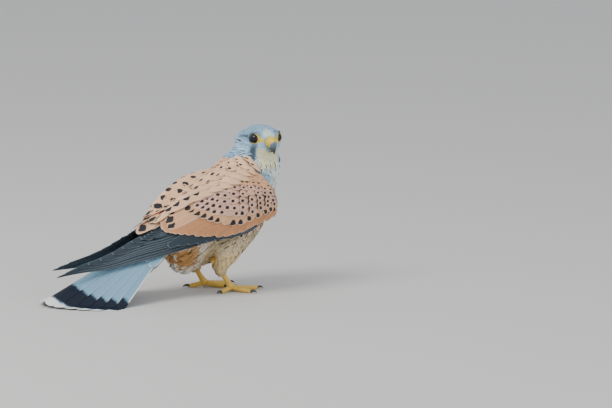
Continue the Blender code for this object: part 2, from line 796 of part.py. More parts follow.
def foot(side, word, group, cutters):
    """Shank, foot with four toes on small flats, and four claws."""
    x, out = FEET[side]
    hub = Vector((x, side * out, FOOT_HEIGHT))
    ankle = Vector((x - ANKLE_BACK, side * out, ANKLE_HEIGHT))
    lean = (ankle - hub).normalized()
    shank = tube(
        [hub + lean * 4.2, hub + lean * 9, hub + lean * 16, ankle],
        [SHANK_RADIUS * 1.1, SHANK_RADIUS * 0.95, SHANK_RADIUS, SHANK_RADIUS * 1.3],
        12,
        "shank_" + word,
        "leg_yellow",
        group,
    )
    core = ball("foot_" + word, hub, 4.0, "leg_yellow", group, 12, 8, (1, 1, 1))
    core_cut = box("ankle_cut", hub + lean * (4.2 - GAP + 10), (20, 20, 20), cutters,
                   Vector((0, 0, 1)).rotation_difference(lean).to_matrix().to_4x4())
    pieces = []
    claws = []
    for toe_name, heading, length in TOES:
        along = toe_direction(side, heading)
        start = hub + along * 1.0 - Vector((0, 0, 0.6))
        steps = (0.0, 0.28, 0.55, 0.8, 1.0)
        heights = (4.6, 3.4, 2.5, 2.0, 1.7)
        ground = Vector((start.x, start.y, 0))
        points = [ground + along * length * s + Vector((0, 0, h)) for s, h in zip(steps, heights)]
        radii = [TOE_RADIUS, TOE_RADIUS * 0.92, TOE_RADIUS * 0.95, TOE_RADIUS * 0.86, TOE_END_RADIUS]
        pieces.append(tube(points, radii, 8, "toe", "leg_yellow", group))
        tip = points[-1] - along * 0.5
        claw_points = []
        claw_radii = []
        for k in range(5):
            t = k / 4
            claw_points.append(tip + along * (CLAW_LENGTH * 0.82 * math.sin(t * 1.35)) + Vector(
                (0, 0, 1.1 * math.sin(t * math.pi) + (0.35 - points[-1].z) * t * t)))
            claw_radii.append(CLAW_RADIUS * (1 - t) ** 0.8 + 0.12)
        claws.append(tube(claw_points, claw_radii, 6, f"claw_{word}_{toe_name}", "horn", group))
    fuse(core, pieces, "EXACT")
    boolean(core, core_cut, "DIFFERENCE")
    bpy.data.objects.remove(core_cut)
    floor = box("floor_cut", Vector((x, side * out, -10.0)), (160, 160, 20), cutters)
    for claw in claws:
        clear_of(claw, [core], cutters)
    for piece in (core, *claws):
        boolean(piece, floor, "DIFFERENCE")
    bpy.data.objects.remove(floor)
    return shank, core, claws


def stand_on_origin(parts):
    """Moves the bird so that the bottom middle of its box is the origin."""
    corners = np.array([v.co for part in parts for v in part.data.vertices], float)
    low = corners.min(axis=0)
    high = corners.max(axis=0)
    shift = Vector((-(low[0] + high[0]) / 2, -(low[1] + high[1]) / 2, -low[2]))
    for part in parts:
        part.data.transform(Matrix.Translation(shift))


def build():
    clear_scene()
    group = collection("common_kestrel")
    cutters = collection("cutters")
    body = torso(group)
    skull, *eyes = head(group, cutters)
    throat = neck(group)
    bill_parts = bill(group, cutters)
    hollow = placed(skull_shape("hollow", cutters, GAP * 1.1), head_matrix())
    boolean(throat, hollow, "DIFFERENCE")
    bpy.data.objects.remove(hollow)
    for side in (RIGHT, LEFT):
        spot = (EYE_SPOT[0], side * EYE_SPOT[1], EYE_SPOT[2])
        hollow = placed(ball("hollow", spot, EYE_RADIUS + LID_THICK + GAP, "slate", cutters), head_matrix())
        boolean(throat, hollow, "DIFFERENCE")
        bpy.data.objects.remove(hollow)
    clear_of(throat, bill_parts, cutters)
    fan = tail(group)
    clear_of(fan, [body], cutters)
    wings = [wing(RIGHT, "wing_right", group), wing(LEFT, "wing_left", group)]
    hollow = tail_wedge("hollow", cutters, lambda r: 1.1 + GAP, lambda r: -12.0)
    for piece in wings:
        boolean(piece, hollow, "DIFFERENCE", "MANIFOLD")
        clear_of(piece, [body, throat], cutters)
    bpy.data.objects.remove(hollow)
    slabs = [wing_slab(side, "hollow", cutters, -0.6, 7.0) for side in (RIGHT, LEFT)]
    legs = []
    for side, word in ((RIGHT, "right"), (LEFT, "left")):
        drumstick = thigh(side, "thigh_" + word, group)
        shank, sole, claws = foot(side, word, group, cutters)
        clear_of(body, [shank], cutters)
        clear_of(drumstick, [body, *slabs, shank], cutters)
        legs += [drumstick, shank, sole, *claws]
    for slab in slabs:
        bpy.data.objects.remove(slab)
    parts = [body, throat, skull, *eyes, *bill_parts, *wings, fan, *legs]
    stand_on_origin(parts)
    for part in parts:
        part.data.shade_smooth()
        part.data.set_sharp_from_angle(angle=math.radians(35))
    bpy.data.collections.remove(cutters)


build()
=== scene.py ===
"""The looks of a life-size male common kestrel that stands with its head turned back over its shoulder.

Sizes are in millimetres in the bird's own frame: it faces +X, its right side is on -Y, the floor is z = 0 and
the origin is between its feet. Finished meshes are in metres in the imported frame. One skin lies under the
plumage and every feather is a thin closed vane over it. The eyes, lids, cere, bill, legs and claws are
pieces of their own.
"""

import json
import logging
import math
from collections.abc import Callable, Sequence
from dataclasses import dataclass, field
from enum import Enum

import bmesh
import bpy
import numpy as np
from mathutils import Matrix, Vector
from mathutils.bvhtree import BVHTree

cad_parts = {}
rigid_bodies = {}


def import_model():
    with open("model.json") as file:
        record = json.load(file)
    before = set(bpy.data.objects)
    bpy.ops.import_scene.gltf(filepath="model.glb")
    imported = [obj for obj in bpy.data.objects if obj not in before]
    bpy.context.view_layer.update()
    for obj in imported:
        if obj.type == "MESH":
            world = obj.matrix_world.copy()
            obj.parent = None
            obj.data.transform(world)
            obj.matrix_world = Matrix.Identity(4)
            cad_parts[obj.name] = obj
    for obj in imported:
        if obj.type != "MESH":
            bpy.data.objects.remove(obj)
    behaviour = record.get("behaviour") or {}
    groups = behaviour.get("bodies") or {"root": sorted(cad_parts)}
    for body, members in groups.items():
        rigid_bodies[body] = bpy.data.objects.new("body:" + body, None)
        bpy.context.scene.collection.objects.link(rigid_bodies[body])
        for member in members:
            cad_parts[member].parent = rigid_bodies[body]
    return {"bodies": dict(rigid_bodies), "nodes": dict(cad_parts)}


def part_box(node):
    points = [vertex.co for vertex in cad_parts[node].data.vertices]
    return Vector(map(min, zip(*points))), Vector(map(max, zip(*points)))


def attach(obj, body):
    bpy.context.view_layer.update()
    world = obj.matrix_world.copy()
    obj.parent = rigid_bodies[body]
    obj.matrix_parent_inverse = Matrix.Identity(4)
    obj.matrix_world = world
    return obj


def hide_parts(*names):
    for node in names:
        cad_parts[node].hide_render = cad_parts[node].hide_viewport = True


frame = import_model()

MM = 0.001
BAKE_MAP = "OFBake"
PATCH = 0.003
MAP_COLUMNS = 12
MAP_PITCH = 12.3
MAP_EDGE = 0.01
SHARP_ANGLE = math.radians(50)
VANE_DEPTH = 0.14
Piece = bpy.types.Object
Material = bpy.types.Material
Shape = bmesh.types.BMesh
Array = np.ndarray
Colour = tuple[float, float, float]
Spot = tuple[float, float, float]
Row = tuple[float, ...]
log = logging.getLogger("kestrel")


class Side(Enum):
    """A side of the bird, by the sign of its Y."""

    RIGHT = -1
    LEFT = 1

    @property
    def word(self) -> str:
        """The side as node names have it."""
        return self.name.lower()


class Operation(Enum):
    """The sums that a Wire can add to a material."""

    ADD = "ADD"
    SUBTRACT = "SUBTRACT"
    MULTIPLY = "MULTIPLY"
    DIVIDE = "DIVIDE"
    ABSOLUTE = "ABSOLUTE"
    MAXIMUM = "MAXIMUM"
    SINE = "SINE"


def smooth(low: float, high: float, value: Array | float) -> Array:
    """A soft step.

    Args:
        low: Where it starts to rise.
        high: Where it has risen, which may be below low for a falling step.
        value: The number or numbers to judge.

    Returns:
        0 before low, 1 past high and an even ease between.
    """
    share = np.clip((np.asarray(value, float) - low) / (high - low), 0.0, 1.0)
    return share * share * (3 - 2 * share)


def eased(rows: Sequence[Sequence[float]], place: float) -> Array:
    """Reads a table of sizes smoothly between its rows.

    Args:
        rows: Rows that start with their place, in rising order.
        place: Where to read.

    Returns:
        The row's other values at that place, by Catmull-Rom.
    """
    table = np.array(rows, float)
    keys = table[:, 0]
    i = int(np.clip(np.searchsorted(keys, place, side="right") - 1, 0, len(keys) - 2))
    t = (place - keys[i]) / (keys[i + 1] - keys[i])
    before, start, end, after = table[max(i - 1, 0)], table[i], table[i + 1], table[min(i + 2, len(keys) - 1)]
    step = end[0] - start[0]
    slope_in = (end - before) / max(end[0] - before[0], 1e-9) * step
    slope_out = (after - start) / max(after[0] - start[0], 1e-9) * step
    t2, t3 = t * t, t * t * t
    value = (2 * t3 - 3 * t2 + 1) * start + (t3 - 2 * t2 + t) * slope_in
    value = value + (3 * t2 - 2 * t3) * end + (t3 - t2) * slope_out
    return value[1:]


def unit(vectors: Array) -> Array:
    """The vectors of the last axis at length 1."""
    return vectors / np.maximum(np.linalg.norm(vectors, axis=-1, keepdims=True), 1e-9)


def outline(along: Array, root: float = 0.4, tip: float = 0.6) -> Array:
    """Width of a feather at shares of its length, from root to a rounded end of width tip."""
    ending = np.clip((along - 0.5) / 0.5, 0, 1) ** 2.6
    return (root + (1 - root) * smooth(0, 0.4, along)) * np.sqrt(1 - ending * (1 - tip * tip))


def rounding(across: Array, along: Array) -> Array:
    """How far the sides of a feather's end fall back behind its middle, as a share of the half width."""
    return (1 - np.sqrt(1 - (0.94 * across) ** 2)) * smooth(0.45, 1.0, along)


def path_gaps(points: Array, path: Sequence[Sequence[float]]) -> tuple[Array, Array]:
    """Distances of points to each stretch of a line through the path's points, and the stretches.

    Args:
        points: The points.
        path: The line.

    Returns:
        A column of distances for each stretch, and the stretches as vectors.
    """
    nodes = np.array(path, float)
    starts, steps = nodes[:-1], np.diff(nodes, axis=0)
    away = points[:, None, :] - starts[None]
    share = np.clip((away * steps).sum(-1) / (steps**2).sum(-1), 0, 1)
    return np.linalg.norm(away - share[..., None] * steps, axis=-1), steps


def blend(first: Array | Colour, second: Array | Colour, share: Array) -> Array:
    """Rows of colours mixed by a share for each row."""
    share = np.asarray(share, float)[..., None]
    return np.asarray(first, float) * (1 - share) + np.asarray(second, float) * share


def write_vectors(mesh: bpy.types.Mesh, name: str, rows: Array) -> None:
    """Keeps three numbers for each vertex as an attribute."""
    layer = mesh.attributes.new(name, "FLOAT_VECTOR", "POINT")
    layer.data.foreach_set("vector", np.ascontiguousarray(rows, np.float32).ravel())


def map_cell(number: int, low: float, pitch: float, width: float, height: float) -> Array:
    """Low corner and size of a large feather's own cell on the bake map, twelve cells to a row."""
    column, row = number % MAP_COLUMNS, number // MAP_COLUMNS
    return np.array([[MAP_EDGE + column / MAP_PITCH, low + row / pitch, width, height]])


def placed(name: str, mesh: bpy.types.Mesh, finish: Material, rounded: bool = True) -> Piece:
    """Makes the object of a finished mesh, shaded smooth between its sharp edges if it is rounded.

    Args:
        name: Its name.
        mesh: The mesh.
        finish: Its material.
        rounded: False leaves it flat.

    Returns:
        The object.
    """
    if rounded:
        mesh.shade_smooth()
        mesh.set_sharp_from_angle(angle=SHARP_ANGLE)
    mesh.materials.append(finish)
    made = bpy.data.objects.new(name, mesh)
    bpy.context.scene.collection.objects.link(made)
    return made


class Wire:
    """A socket's value in a material, with arithmetic that adds Math nodes."""

    def __init__(self, tree: bpy.types.NodeTree, socket: bpy.types.NodeSocket) -> None:
        """Keeps the tree and the output socket."""
        self.tree = tree
        self.socket = socket

    def sum(self, kind: Operation, other: "Wire | float | None" = None, swapped: bool = False) -> "Wire":
        """Adds one Math node.

        Args:
            kind: The sum.
            other: The second value, if it has one.
            swapped: True puts the other value first.

        Returns:
            The node's result.
        """
        node = self.tree.nodes.new("ShaderNodeMath")
        node.operation = kind.value
        values = [self] if other is None else [self, other]
        for socket, value in zip(node.inputs, reversed(values) if swapped else values):
            if isinstance(value, Wire):
                self.tree.links.new(value.socket, socket)
            else:
                socket.default_value = float(value)
        return Wire(self.tree, node.outputs[0])

    def __add__(self, other: "Wire | float") -> "Wire":
        """Sum."""
        return self.sum(Operation.ADD, other)

    __radd__ = __add__

    def __sub__(self, other: "Wire | float") -> "Wire":
        """Difference."""
        return self.sum(Operation.SUBTRACT, other)

    def __rsub__(self, other: float) -> "Wire":
        """Difference from a number."""
        return self.sum(Operation.SUBTRACT, other, swapped=True)

    def __mul__(self, other: "Wire | float") -> "Wire":
        """Product."""
        return self.sum(Operation.MULTIPLY, other)

    __rmul__ = __mul__

    def __truediv__(self, other: "Wire | float") -> "Wire":
        """Quotient."""
        return self.sum(Operation.DIVIDE, other)

    def __abs__(self) -> "Wire":
        """Size without sign."""
        return self.sum(Operation.ABSOLUTE)

    def larger(self, other: "Wire | float") -> "Wire":
        """The larger of two values."""
        return self.sum(Operation.MAXIMUM, other)

    def sine(self) -> "Wire":
        """Sine."""
        return self.sum(Operation.SINE)

    def step(self, low: float, high: float) -> "Wire":
        """A soft step from 0 at low to 1 at high, or the other way round where low is the larger.

        Args:
            low: Where it starts.
            high: Where it ends.

        Returns:
            The step.
        """
        node = self.tree.nodes.new("ShaderNodeMapRange")
        node.interpolation_type = "SMOOTHSTEP"
        rising = low <= high
        node.inputs["From Min"].default_value = min(low, high)
        node.inputs["From Max"].default_value = max(low, high)
        node.inputs["To Min"].default_value = 0.0 if rising else 1.0
        node.inputs["To Max"].default_value = 1.0 if rising else 0.0
        self.tree.links.new(self.socket, node.inputs["Value"])
        return Wire(self.tree, node.outputs["Result"])


class Bench:
    """One material under construction."""

    def __init__(self, name: str) -> None:
        """Starts a material with a Principled shader.

        Args:
            name: The material's name.
        """
        self.material = bpy.data.materials.new(name)
        self.material.use_nodes = True
        self.tree = self.material.node_tree
        self.shader = self.tree.nodes["Principled BSDF"]

    def node(self, kind: str, settings: dict[str, object] | None = None, **values: object) -> bpy.types.Node:
        """Adds any node.

        Args:
            kind: The node's type.
            settings: Its own properties, set first.
            **values: Values or Wires of its sockets, with underscores for spaces.

        Returns:
            The node.
        """
        made = self.tree.nodes.new(kind)
        for key, value in (settings or {}).items():
            setattr(made, key, value)
        for key, value in values.items():
            self.feed(made.inputs[key.replace("_", " ")], value)
        return made

    def feed(self, socket: bpy.types.NodeSocket, value: object) -> None:
        """Gives a socket a Wire or a constant."""
        if isinstance(value, Wire):
            self.tree.links.new(value.socket, socket)
        elif isinstance(value, tuple) and len(value) == 3 and socket.type == "RGBA":
            socket.default_value = (*value, 1.0)
        else:
            socket.default_value = value

    def wire(self, node: bpy.types.Node, output: str | int = 0) -> Wire:
        """One output of a node."""
        return Wire(self.tree, node.outputs[output])

    def attribute(self, name: str, output: str = "Color") -> Wire:
        """A mesh attribute by name."""
        return self.wire(self.node("ShaderNodeAttribute", {"attribute_name": name}), output)

    def parts(self, vector: Wire) -> tuple[Wire, Wire, Wire]:
        """The three numbers of a vector."""
        made = self.node("ShaderNodeSeparateXYZ", Vector=vector)
        return self.wire(made, 0), self.wire(made, 1), self.wire(made, 2)

    def place(self) -> Wire:
        """Object coordinates, in metres."""
        return self.wire(self.node("ShaderNodeTexCoord"), "Object")

    def noise(self, scale: float, detail: float = 2.0, vector: Wire | None = None) -> Wire:
        """Noise from 0 to 1 over the object's own coordinates, scale being grains a metre."""
        made = self.node("ShaderNodeTexNoise", Vector=vector or self.place(), Scale=scale, Detail=detail)
        return self.wire(made, 0)

    def mix(self, share: Wire | float, first: object, second: object, kind: str = "MIX") -> Wire:
        """A mix of two colours, by one of Mix's own blend types.

        Args:
            share: How much of the second.
            first: A colour.
            second: A colour.
            kind: Mix's blend type.

        Returns:
            The mix.
        """
        made = self.node("ShaderNodeMix", {"data_type": "RGBA", "blend_type": kind})
        self.feed(made.inputs[0], share)
        self.feed(made.inputs[6], first)
        self.feed(made.inputs[7], second)
        return self.wire(made, 2)

    def shade(self, colour: Wire, amount: Wire) -> Wire:
        """A colour made lighter or darker by a number about 1.

        Args:
            colour: The colour.
            amount: The number.

        Returns:
            The shaded colour.
        """
        made = self.node("ShaderNodeVectorMath", {"operation": "SCALE"}, Vector=colour)
        self.feed(made.inputs["Scale"], amount)
        return self.wire(made, 0)

    def bump(self, height: Wire, strength: float, distance: float) -> None:
        """Feeds the shader's normal from a height, distance being its full depth in metres."""
        made = self.node("ShaderNodeBump", Height=height, Strength=strength, Distance=distance)
        self.feed(self.shader.inputs["Normal"], self.wire(made))

    def finish(self, **values: object) -> Material:
        """Sets the shader's sockets and gives the material."""
        for key, value in values.items():
            self.feed(self.shader.inputs[key.replace("_", " ")], value)
        return self.material


@dataclass(frozen=True)
class FeatherFinish:
    """Vanes whose colours and marks are attributes of each feather.

    ground, mark and fringe are colours. lie is the place on the feather: share of half width, share of length
    and millimetres to the tip. spot is a diamond's half width share, half length and distance to the tip.
    edge is the fringe's strength, its length at the tip and the feather's tone. streak is a shaft streak's
    half width share and strength, and the vane's half width in millimetres.
    """

    name: str
    roughness: float = 0.6
    sheen: float = 0.08
    barbs: float = 22.0
    barb_tone: float = 0.035
    bump: float = 0.22
    bleed: float = 0.16

    def material(self) -> Material:
        """The finish as a material.

        Returns:
            The material.
        """
        bench = Bench(self.name)
        across, along, to_tip = bench.parts(bench.attribute("lie", "Vector"))
        spot_half, spot_long, spot_place = bench.parts(bench.attribute("spot", "Vector"))
        fringe, tip_fringe, tone = bench.parts(bench.attribute("edge", "Vector"))
        streak_half, streak, half = bench.parts(bench.attribute("streak", "Vector"))
        wide = abs(across)
        mottle = bench.noise(420.0, 3.0) - 0.5
        fine = bench.noise(1500.0, 2.0) - 0.5
        barb = ((to_tip * self.barbs) + wide * half * (self.barbs * 0.8)).sine()
        border = (wide + mottle * self.bleed).step(0.74, 0.96)
        ending = ((to_tip / tip_fringe.larger(0.01)) + mottle * 0.3 + wide * wide * 0.35).step(1.15, 0.85)
        edging = (border * fringe).larger(ending * fringe.larger(tip_fringe.step(2.5, 4.0)))
        share = wide / spot_half.larger(0.001)
        drop_shape = share * share + abs(to_tip - spot_place) / spot_long.larger(0.01)
        spotted = (drop_shape + (mottle + fine) * (self.bleed * 2.2)).step(1.15, 0.82)
        drop = (wide / streak_half.larger(0.001) + fine * 0.5).step(1.05, 0.6)
        streaked = drop * along.step(0.12, 0.45) * streak
        colour = bench.mix(edging, bench.attribute("ground"), bench.attribute("fringe"))
        colour = bench.mix(spotted.larger(streaked), colour, bench.attribute("mark"))
        shaft = (wide * half).step(0.35, 0.12) * along.step(0.98, 0.75)
        light = 1.0 + barb * self.barb_tone + mottle * 0.22 + fine * 0.12 + tone
        colour = bench.shade(colour, light * (0.72 + 0.28 * along.step(0.05, 0.5)) * (1.0 - shaft * 0.22))
        bench.bump(barb * 0.5 + shaft * 1.4 + fine * 0.8, self.bump, 0.0002)
        return bench.finish(
            Base_Color=colour,
            Roughness=self.roughness,
            Sheen_Weight=self.sheen,
            Sheen_Roughness=0.45,
            Specular_IOR_Level=0.2,
        )


@dataclass(frozen=True)
class SkinFinish:
    """The down that shows between feathers, coloured as the plumage over it."""

    name: str = "under_plumage"

    def material(self) -> Material:
        """The finish as a material.

        Returns:
            The material.
        """
        bench = Bench(self.name)
        lumps = bench.noise(900.0, 4.0)
        colour = bench.shade(bench.attribute("ground"), 0.55 + lumps * 0.5)
        bench.bump(lumps, 0.6, 0.0006)
        return bench.finish(Base_Color=colour, Roughness=0.85, Specular_IOR_Level=0.2)


@dataclass(frozen=True)
class HornFinish:
    """Polished horn that darkens towards its tip, by the attribute depth from 0 at the base to 1."""

    name: str
    base: Colour = (0.15, 0.22, 0.29)
    tip: Colour = (0.012, 0.016, 0.022)
    turn: float = 0.6
    roughness: float = 0.24

    def material(self) -> Material:
        """The finish as a material.

        Returns:
            The material.
        """
        bench = Bench(self.name)
        depth = bench.attribute("depth", "Fac")
        grain = bench.noise(1800.0, 3.0)
        cloud = bench.noise(500.0, 3.0)
        share = (depth + (cloud - 0.5) * 0.25).step(self.turn - 0.28, self.turn + 0.28)
        colour = bench.mix(share, self.base, self.tip)
        colour = bench.shade(colour, 0.86 + cloud * 0.28)
        bench.bump(grain, 0.15, 0.0001)
        rough = self.roughness + grain * 0.14
        return bench.finish(Base_Color=colour, Roughness=rough, Coat_Weight=0.35, Coat_Roughness=0.12)


@dataclass(frozen=True)
class WaxFinish:
    """Bare yellow skin of cere, eye ring and legs, with pores or scales and painted shade on the ring's top
    and back.
    """

    name: str
    colour: Colour
    deep: Colour
    # rim is the dark colour of the painted shade on the eye ring's top and back.
    rim: Colour = (0.05, 0.06, 0.07)
    grain: float = 1400.0
    depth: float = 0.00012
    roughness: float = 0.42

    def material(self) -> Material:
        """The finish as a material.

        Returns:
            The material.
        """
        bench = Bench(self.name)
        cells = bench.node("ShaderNodeTexVoronoi", Vector=bench.place(), Scale=self.grain)
        gaps = bench.wire(cells, "Distance")
        cloud = bench.noise(260.0, 3.0)
        # The colour turns deeper towards the sunken gaps between the cells, where the bump lowers the
        # surface.
        gap_share = gaps.step(0.25, 0.75)
        colour = bench.mix((gap_share * 0.55 + (cloud - 0.5) * 0.5), self.colour, self.deep)
        # Painted shade: the eye ring turns to the dark colour at its top and back.
        colour = bench.mix(bench.attribute("dim", "Fac"), colour, self.rim)
        bench.bump(1.0 - gaps, 0.5, self.depth)
        return bench.finish(
            Base_Color=colour,
            Roughness=self.roughness + cloud * 0.12,
            Subsurface_Weight=0.08,
            Subsurface_Radius=(0.002, 0.001, 0.0004),
            Subsurface_Scale=1.0,
        )


@dataclass(frozen=True)
class EyeFinish:
    """A wet eye, dark brown about a black pupil. The attribute depth is the angle from its axis, 0 to 1."""

    name: str = "wet_eye"
    iris: Colour = (0.016, 0.007, 0.004)
    pupil: Colour = (0.002, 0.002, 0.003)
    rim: Colour = (0.004, 0.003, 0.003)

    def material(self) -> Material:
        """The finish as a material.

        Returns:
            The material.
        """
        bench = Bench(self.name)
        angle = bench.attribute("depth", "Fac")
        rays = bench.noise(2600.0, 4.0)
        colour = bench.mix((angle + (rays - 0.5) * 0.05).step(0.20, 0.24), self.pupil, self.iris)
        colour = bench.mix(angle.step(0.42, 0.55), colour, self.rim)
        colour = bench.shade(colour, 0.6 + rays * 0.9)
        return bench.finish(
            Base_Color=colour,
            Roughness=0.12,
            Specular_IOR_Level=0.2,
            Coat_Weight=0.55,
            Coat_Roughness=0.02,
        )


@dataclass(frozen=True)
class FloorFinish:
    """A plain pale studio floor."""

    name: str = "studio_floor"
    colour: Colour = (0.62, 0.61, 0.60)

    def material(self) -> Material:
        """The finish as a material."""
        bench = Bench(self.name)
        return bench.finish(Base_Color=self.colour, Roughness=0.75, Specular_IOR_Level=0.2)


@dataclass
class Stance:
    """Where the bird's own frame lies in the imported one, and how its head is turned."""

    head_place: Spot = (48.3, -9.6, 149.0)
    head_yaw: float = -100.0
    head_nod: float = -3.0
    eye_spot: Spot = (2.5, 11.0, 1.4)
    eye_turn: float = 48.0
    head_middle: Spot = (-6.0, 0.0, -3.0)
    shift: Vector = field(default_factory=Vector)

    def __post_init__(self) -> None:
        """Finds the shift from the right eye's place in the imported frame."""
        low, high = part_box("eye_right")
        x, y, z = self.eye_spot
        self.shift = (low + high) / 2 - self.head_matrix() @ Vector((x, -y, z)) * MM

    def head_matrix(self) -> Matrix:
        """The head's frame, which looks along its own +X, in millimetres.

        Returns:
            The matrix.
        """
        turn = Matrix.Rotation(math.radians(self.head_yaw), 4, "Z")
        nod = Matrix.Rotation(math.radians(self.head_nod), 4, "Y")
        return Matrix.Translation(Vector(self.head_place)) @ turn @ nod

    def in_head(self, points: Array) -> Array:
        """Points of the bird's frame in the head's frame."""
        matrix = np.array(self.head_matrix().inverted())
        return points @ matrix[:3, :3].T + matrix[:3, 3]

    def eye(self, side: Side) -> tuple[Vector, Vector]:
        """An eye's centre and outward axis in the head's frame.

        Args:
            side: The side of the bird.

        Returns:
            Both, as vectors.
        """
        turn = math.radians(self.eye_turn)
        x, y, z = self.eye_spot
        return Vector((x, side.value * y, z)), Vector((math.cos(turn), side.value * math.sin(turn), 0.0))

    def packed(self, points: Array) -> Array:
        """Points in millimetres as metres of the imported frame."""
        return points * MM + np.array(self.shift)

    def unpacked(self, points: Array) -> Array:
        """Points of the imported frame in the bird's own millimetres."""
        return (points - np.array(self.shift)) / MM


@dataclass(frozen=True)
class Vane:
    """The grid that one kind of feather is bent from: a sheet with two faces and a closed rim."""

    rows: int
    columns: int

    def grid(self) -> tuple[Array, Array]:
        """Makes the sheet.

        Returns:
            The vertices as width share -1 to 1, length share 0 to 1 and depth 0 or 1, and the faces as
            quads, in an order that is the same each run.
        """
        bm = bmesh.new()
        bmesh.ops.create_grid(bm, x_segments=self.columns, y_segments=self.rows, size=1.0)
        bmesh.ops.solidify(bm, geom=bm.faces[:], thickness=1.0)
        bmesh.ops.recalc_face_normals(bm, faces=bm.faces[:])
        bm.verts.index_update()
        points = np.array([vert.co for vert in bm.verts], float)
        faces = []
        for face in bm.faces:
            corners = [vert.index for vert in face.verts]
            first = corners.index(min(corners))
            faces.append(corners[first:] + corners[:first])
        bm.free()
        shares = np.stack([points[:, 0], (points[:, 1] + 1) / 2, points[:, 2].max() - points[:, 2]], axis=1)
        return shares, np.array(sorted(faces), np.int64)


@dataclass
class Marks:
    """The colours and marks of a batch of feathers, one row for each."""

    ground: Array
    mark: Array
    fringe: Array
    spot: Array
    edge: Array
    streak: Array

    @classmethod
    def plain(cls, count: int, ground: Array | Colour, mark: Colour = (0.02, 0.02, 0.025),
              fringe: Colour = (0.6, 0.5, 0.4)) -> "Marks":
        """Unmarked feathers of one or several grounds, ready to be given marks."""
        rows = np.zeros((count, 3))
        colours = [rows + np.asarray(colour, float) for colour in (ground, mark, fringe)]
        return cls(*colours, rows.copy(), rows.copy(), rows.copy())


class Sheaf:
    """Feathers of one piece, gathered as arrays and made into one joined mesh."""

    def __init__(self, name: str, vane: Vane, stance: Stance) -> None:
        """Starts an empty sheaf of one kind of vane.

        Args:
            name: Its name.
            vane: Its kind of vane.
            stance: Where the bird stands.
        """
        self.name = name
        self.stance = stance
        self.grid, self.faces = vane.grid()
        self.points: list[Array] = []
        self.sizes: list[Array] = []
        self.marks: list[Marks] = []
        self.patches: list[Array] = []

    def add(self, points: Array, lengths: Array, halves: Array, marks: Marks,
            patches: Array) -> None:
        """Adds a batch of bent feathers.

        Args:
            points: Their vertices in millimetres, feather by feather.
            lengths: Their lengths.
            halves: Their half widths.
            marks: Their colours and marks.
            patches: Low corner and size of each one's patch on the bake map.
        """
        self.points.append(points)
        self.sizes.append(np.stack([lengths, halves], axis=1))
        self.marks.append(marks)
        self.patches.append(patches)

    def build(self, finish: Material) -> Piece:
        """Joins the feathers into one mesh with their attributes and bake map.

        Args:
            finish: Its material.

        Returns:
            The piece.
        """
        points = np.concatenate(self.points)
        sizes = np.concatenate(self.sizes)
        count, each = points.shape[:2]
        faces = (self.faces[None] + (np.arange(count) * each)[:, None, None]).reshape(-1, 4)
        mesh = bpy.data.meshes.new(self.name)
        mesh.from_pydata(self.stance.packed(points.reshape(-1, 3)), [], faces)
        across, along = self.grid[:, 0], self.grid[:, 1]
        lie = np.zeros((count, each, 3))
        lie[..., 0] = across
        lie[..., 1] = along
        lie[..., 2] = (1 - along)[None] * sizes[:, :1]
        values = {"lie": lie}
        for name in ("ground", "mark", "fringe", "spot", "edge", "streak"):
            rows = np.concatenate([getattr(marks, name) for marks in self.marks])
            if name == "streak":
                rows = rows.copy()
                rows[:, 2] = sizes[:, 1]
            values[name] = np.broadcast_to(rows[:, None, :], (count, each, 3))
        for name, rows in values.items():
            write_vectors(mesh, name, rows)
        patches = np.concatenate(self.patches)
        flat = np.stack([(across + 1) / 2, along], axis=1)
        maps = patches[:, None, :2] + flat[None] * patches[:, None, 2:]
        layer = mesh.uv_layers.new(name=BAKE_MAP)
        layer.data.foreach_set("uv", maps.reshape(-1, 2)[faces.ravel()].astype(np.float32).ravel())
        return placed(self.name, mesh, finish)


def solid_object(name: str, bm: Shape, stance: Stance, finish: Material,
                 head: bool = False) -> Piece:
    """Makes a piece of a bmesh in millimetres.

    Args:
        name: The piece's name.
        bm: The shape, which is used up. A vertex layer named depth goes along.
        stance: Where the bird stands.
        finish: The material.
        head: True if the shape is in the head's frame.

    Returns:
        The object, with its place in its mesh.
    """
    bmesh.ops.recalc_face_normals(bm, faces=bm.faces[:])
    if head:
        bmesh.ops.transform(bm, matrix=stance.head_matrix(), verts=bm.verts[:])
    place = Matrix.Translation(stance.shift) @ Matrix.Scale(MM, 4)
    bmesh.ops.transform(bm, matrix=place, verts=bm.verts[:])
    mesh = bpy.data.meshes.new(name)
    bm.to_mesh(mesh)
    bm.free()
    return placed(name, mesh, finish)


def hull_of_rings(rings: Sequence[Sequence[Vector]], depths: Sequence[float] | None = None) -> Shape:
    """Bridges closed rings of equal count into one closed body.

    Args:
        rings: The rings, in order.
        depths: A value from 0 to 1 for each ring, kept as the vertex layer depth.

    Returns:
        The body.
    """
    bm = bmesh.new()
    layer = bm.verts.layers.float.new("depth")
    loops: list[list[bmesh.types.BMEdge]] = []
    for i, points in enumerate(rings):
        made = bmesh.ops.create_circle(bm, segments=len(points), radius=1.0)["verts"]
        for vert, point in zip(made, points):
            vert.co = point
            vert[layer] = depths[i] if depths is not None else 0.0
        loops.append(list(dict.fromkeys(edge for vert in made for edge in vert.link_edges)))
    for low, high in zip(loops, loops[1:]):
        bmesh.ops.bridge_loops(bm, edges=low + high)
    for loop in (loops[0], loops[-1]):
        bmesh.ops.contextual_create(bm, geom=loop)
    return bm


def ellipse(centre: Vector, across: Vector, up: Vector, half_across: float, half_up: float,
            count: int) -> list[Vector]:
    """Points of an ellipse about centre in the plane of across and up."""
    turns = [math.tau * k / count for k in range(count)]
    return [centre + across * (half_across * math.sin(a)) + up * (half_up * math.cos(a)) for a in turns]


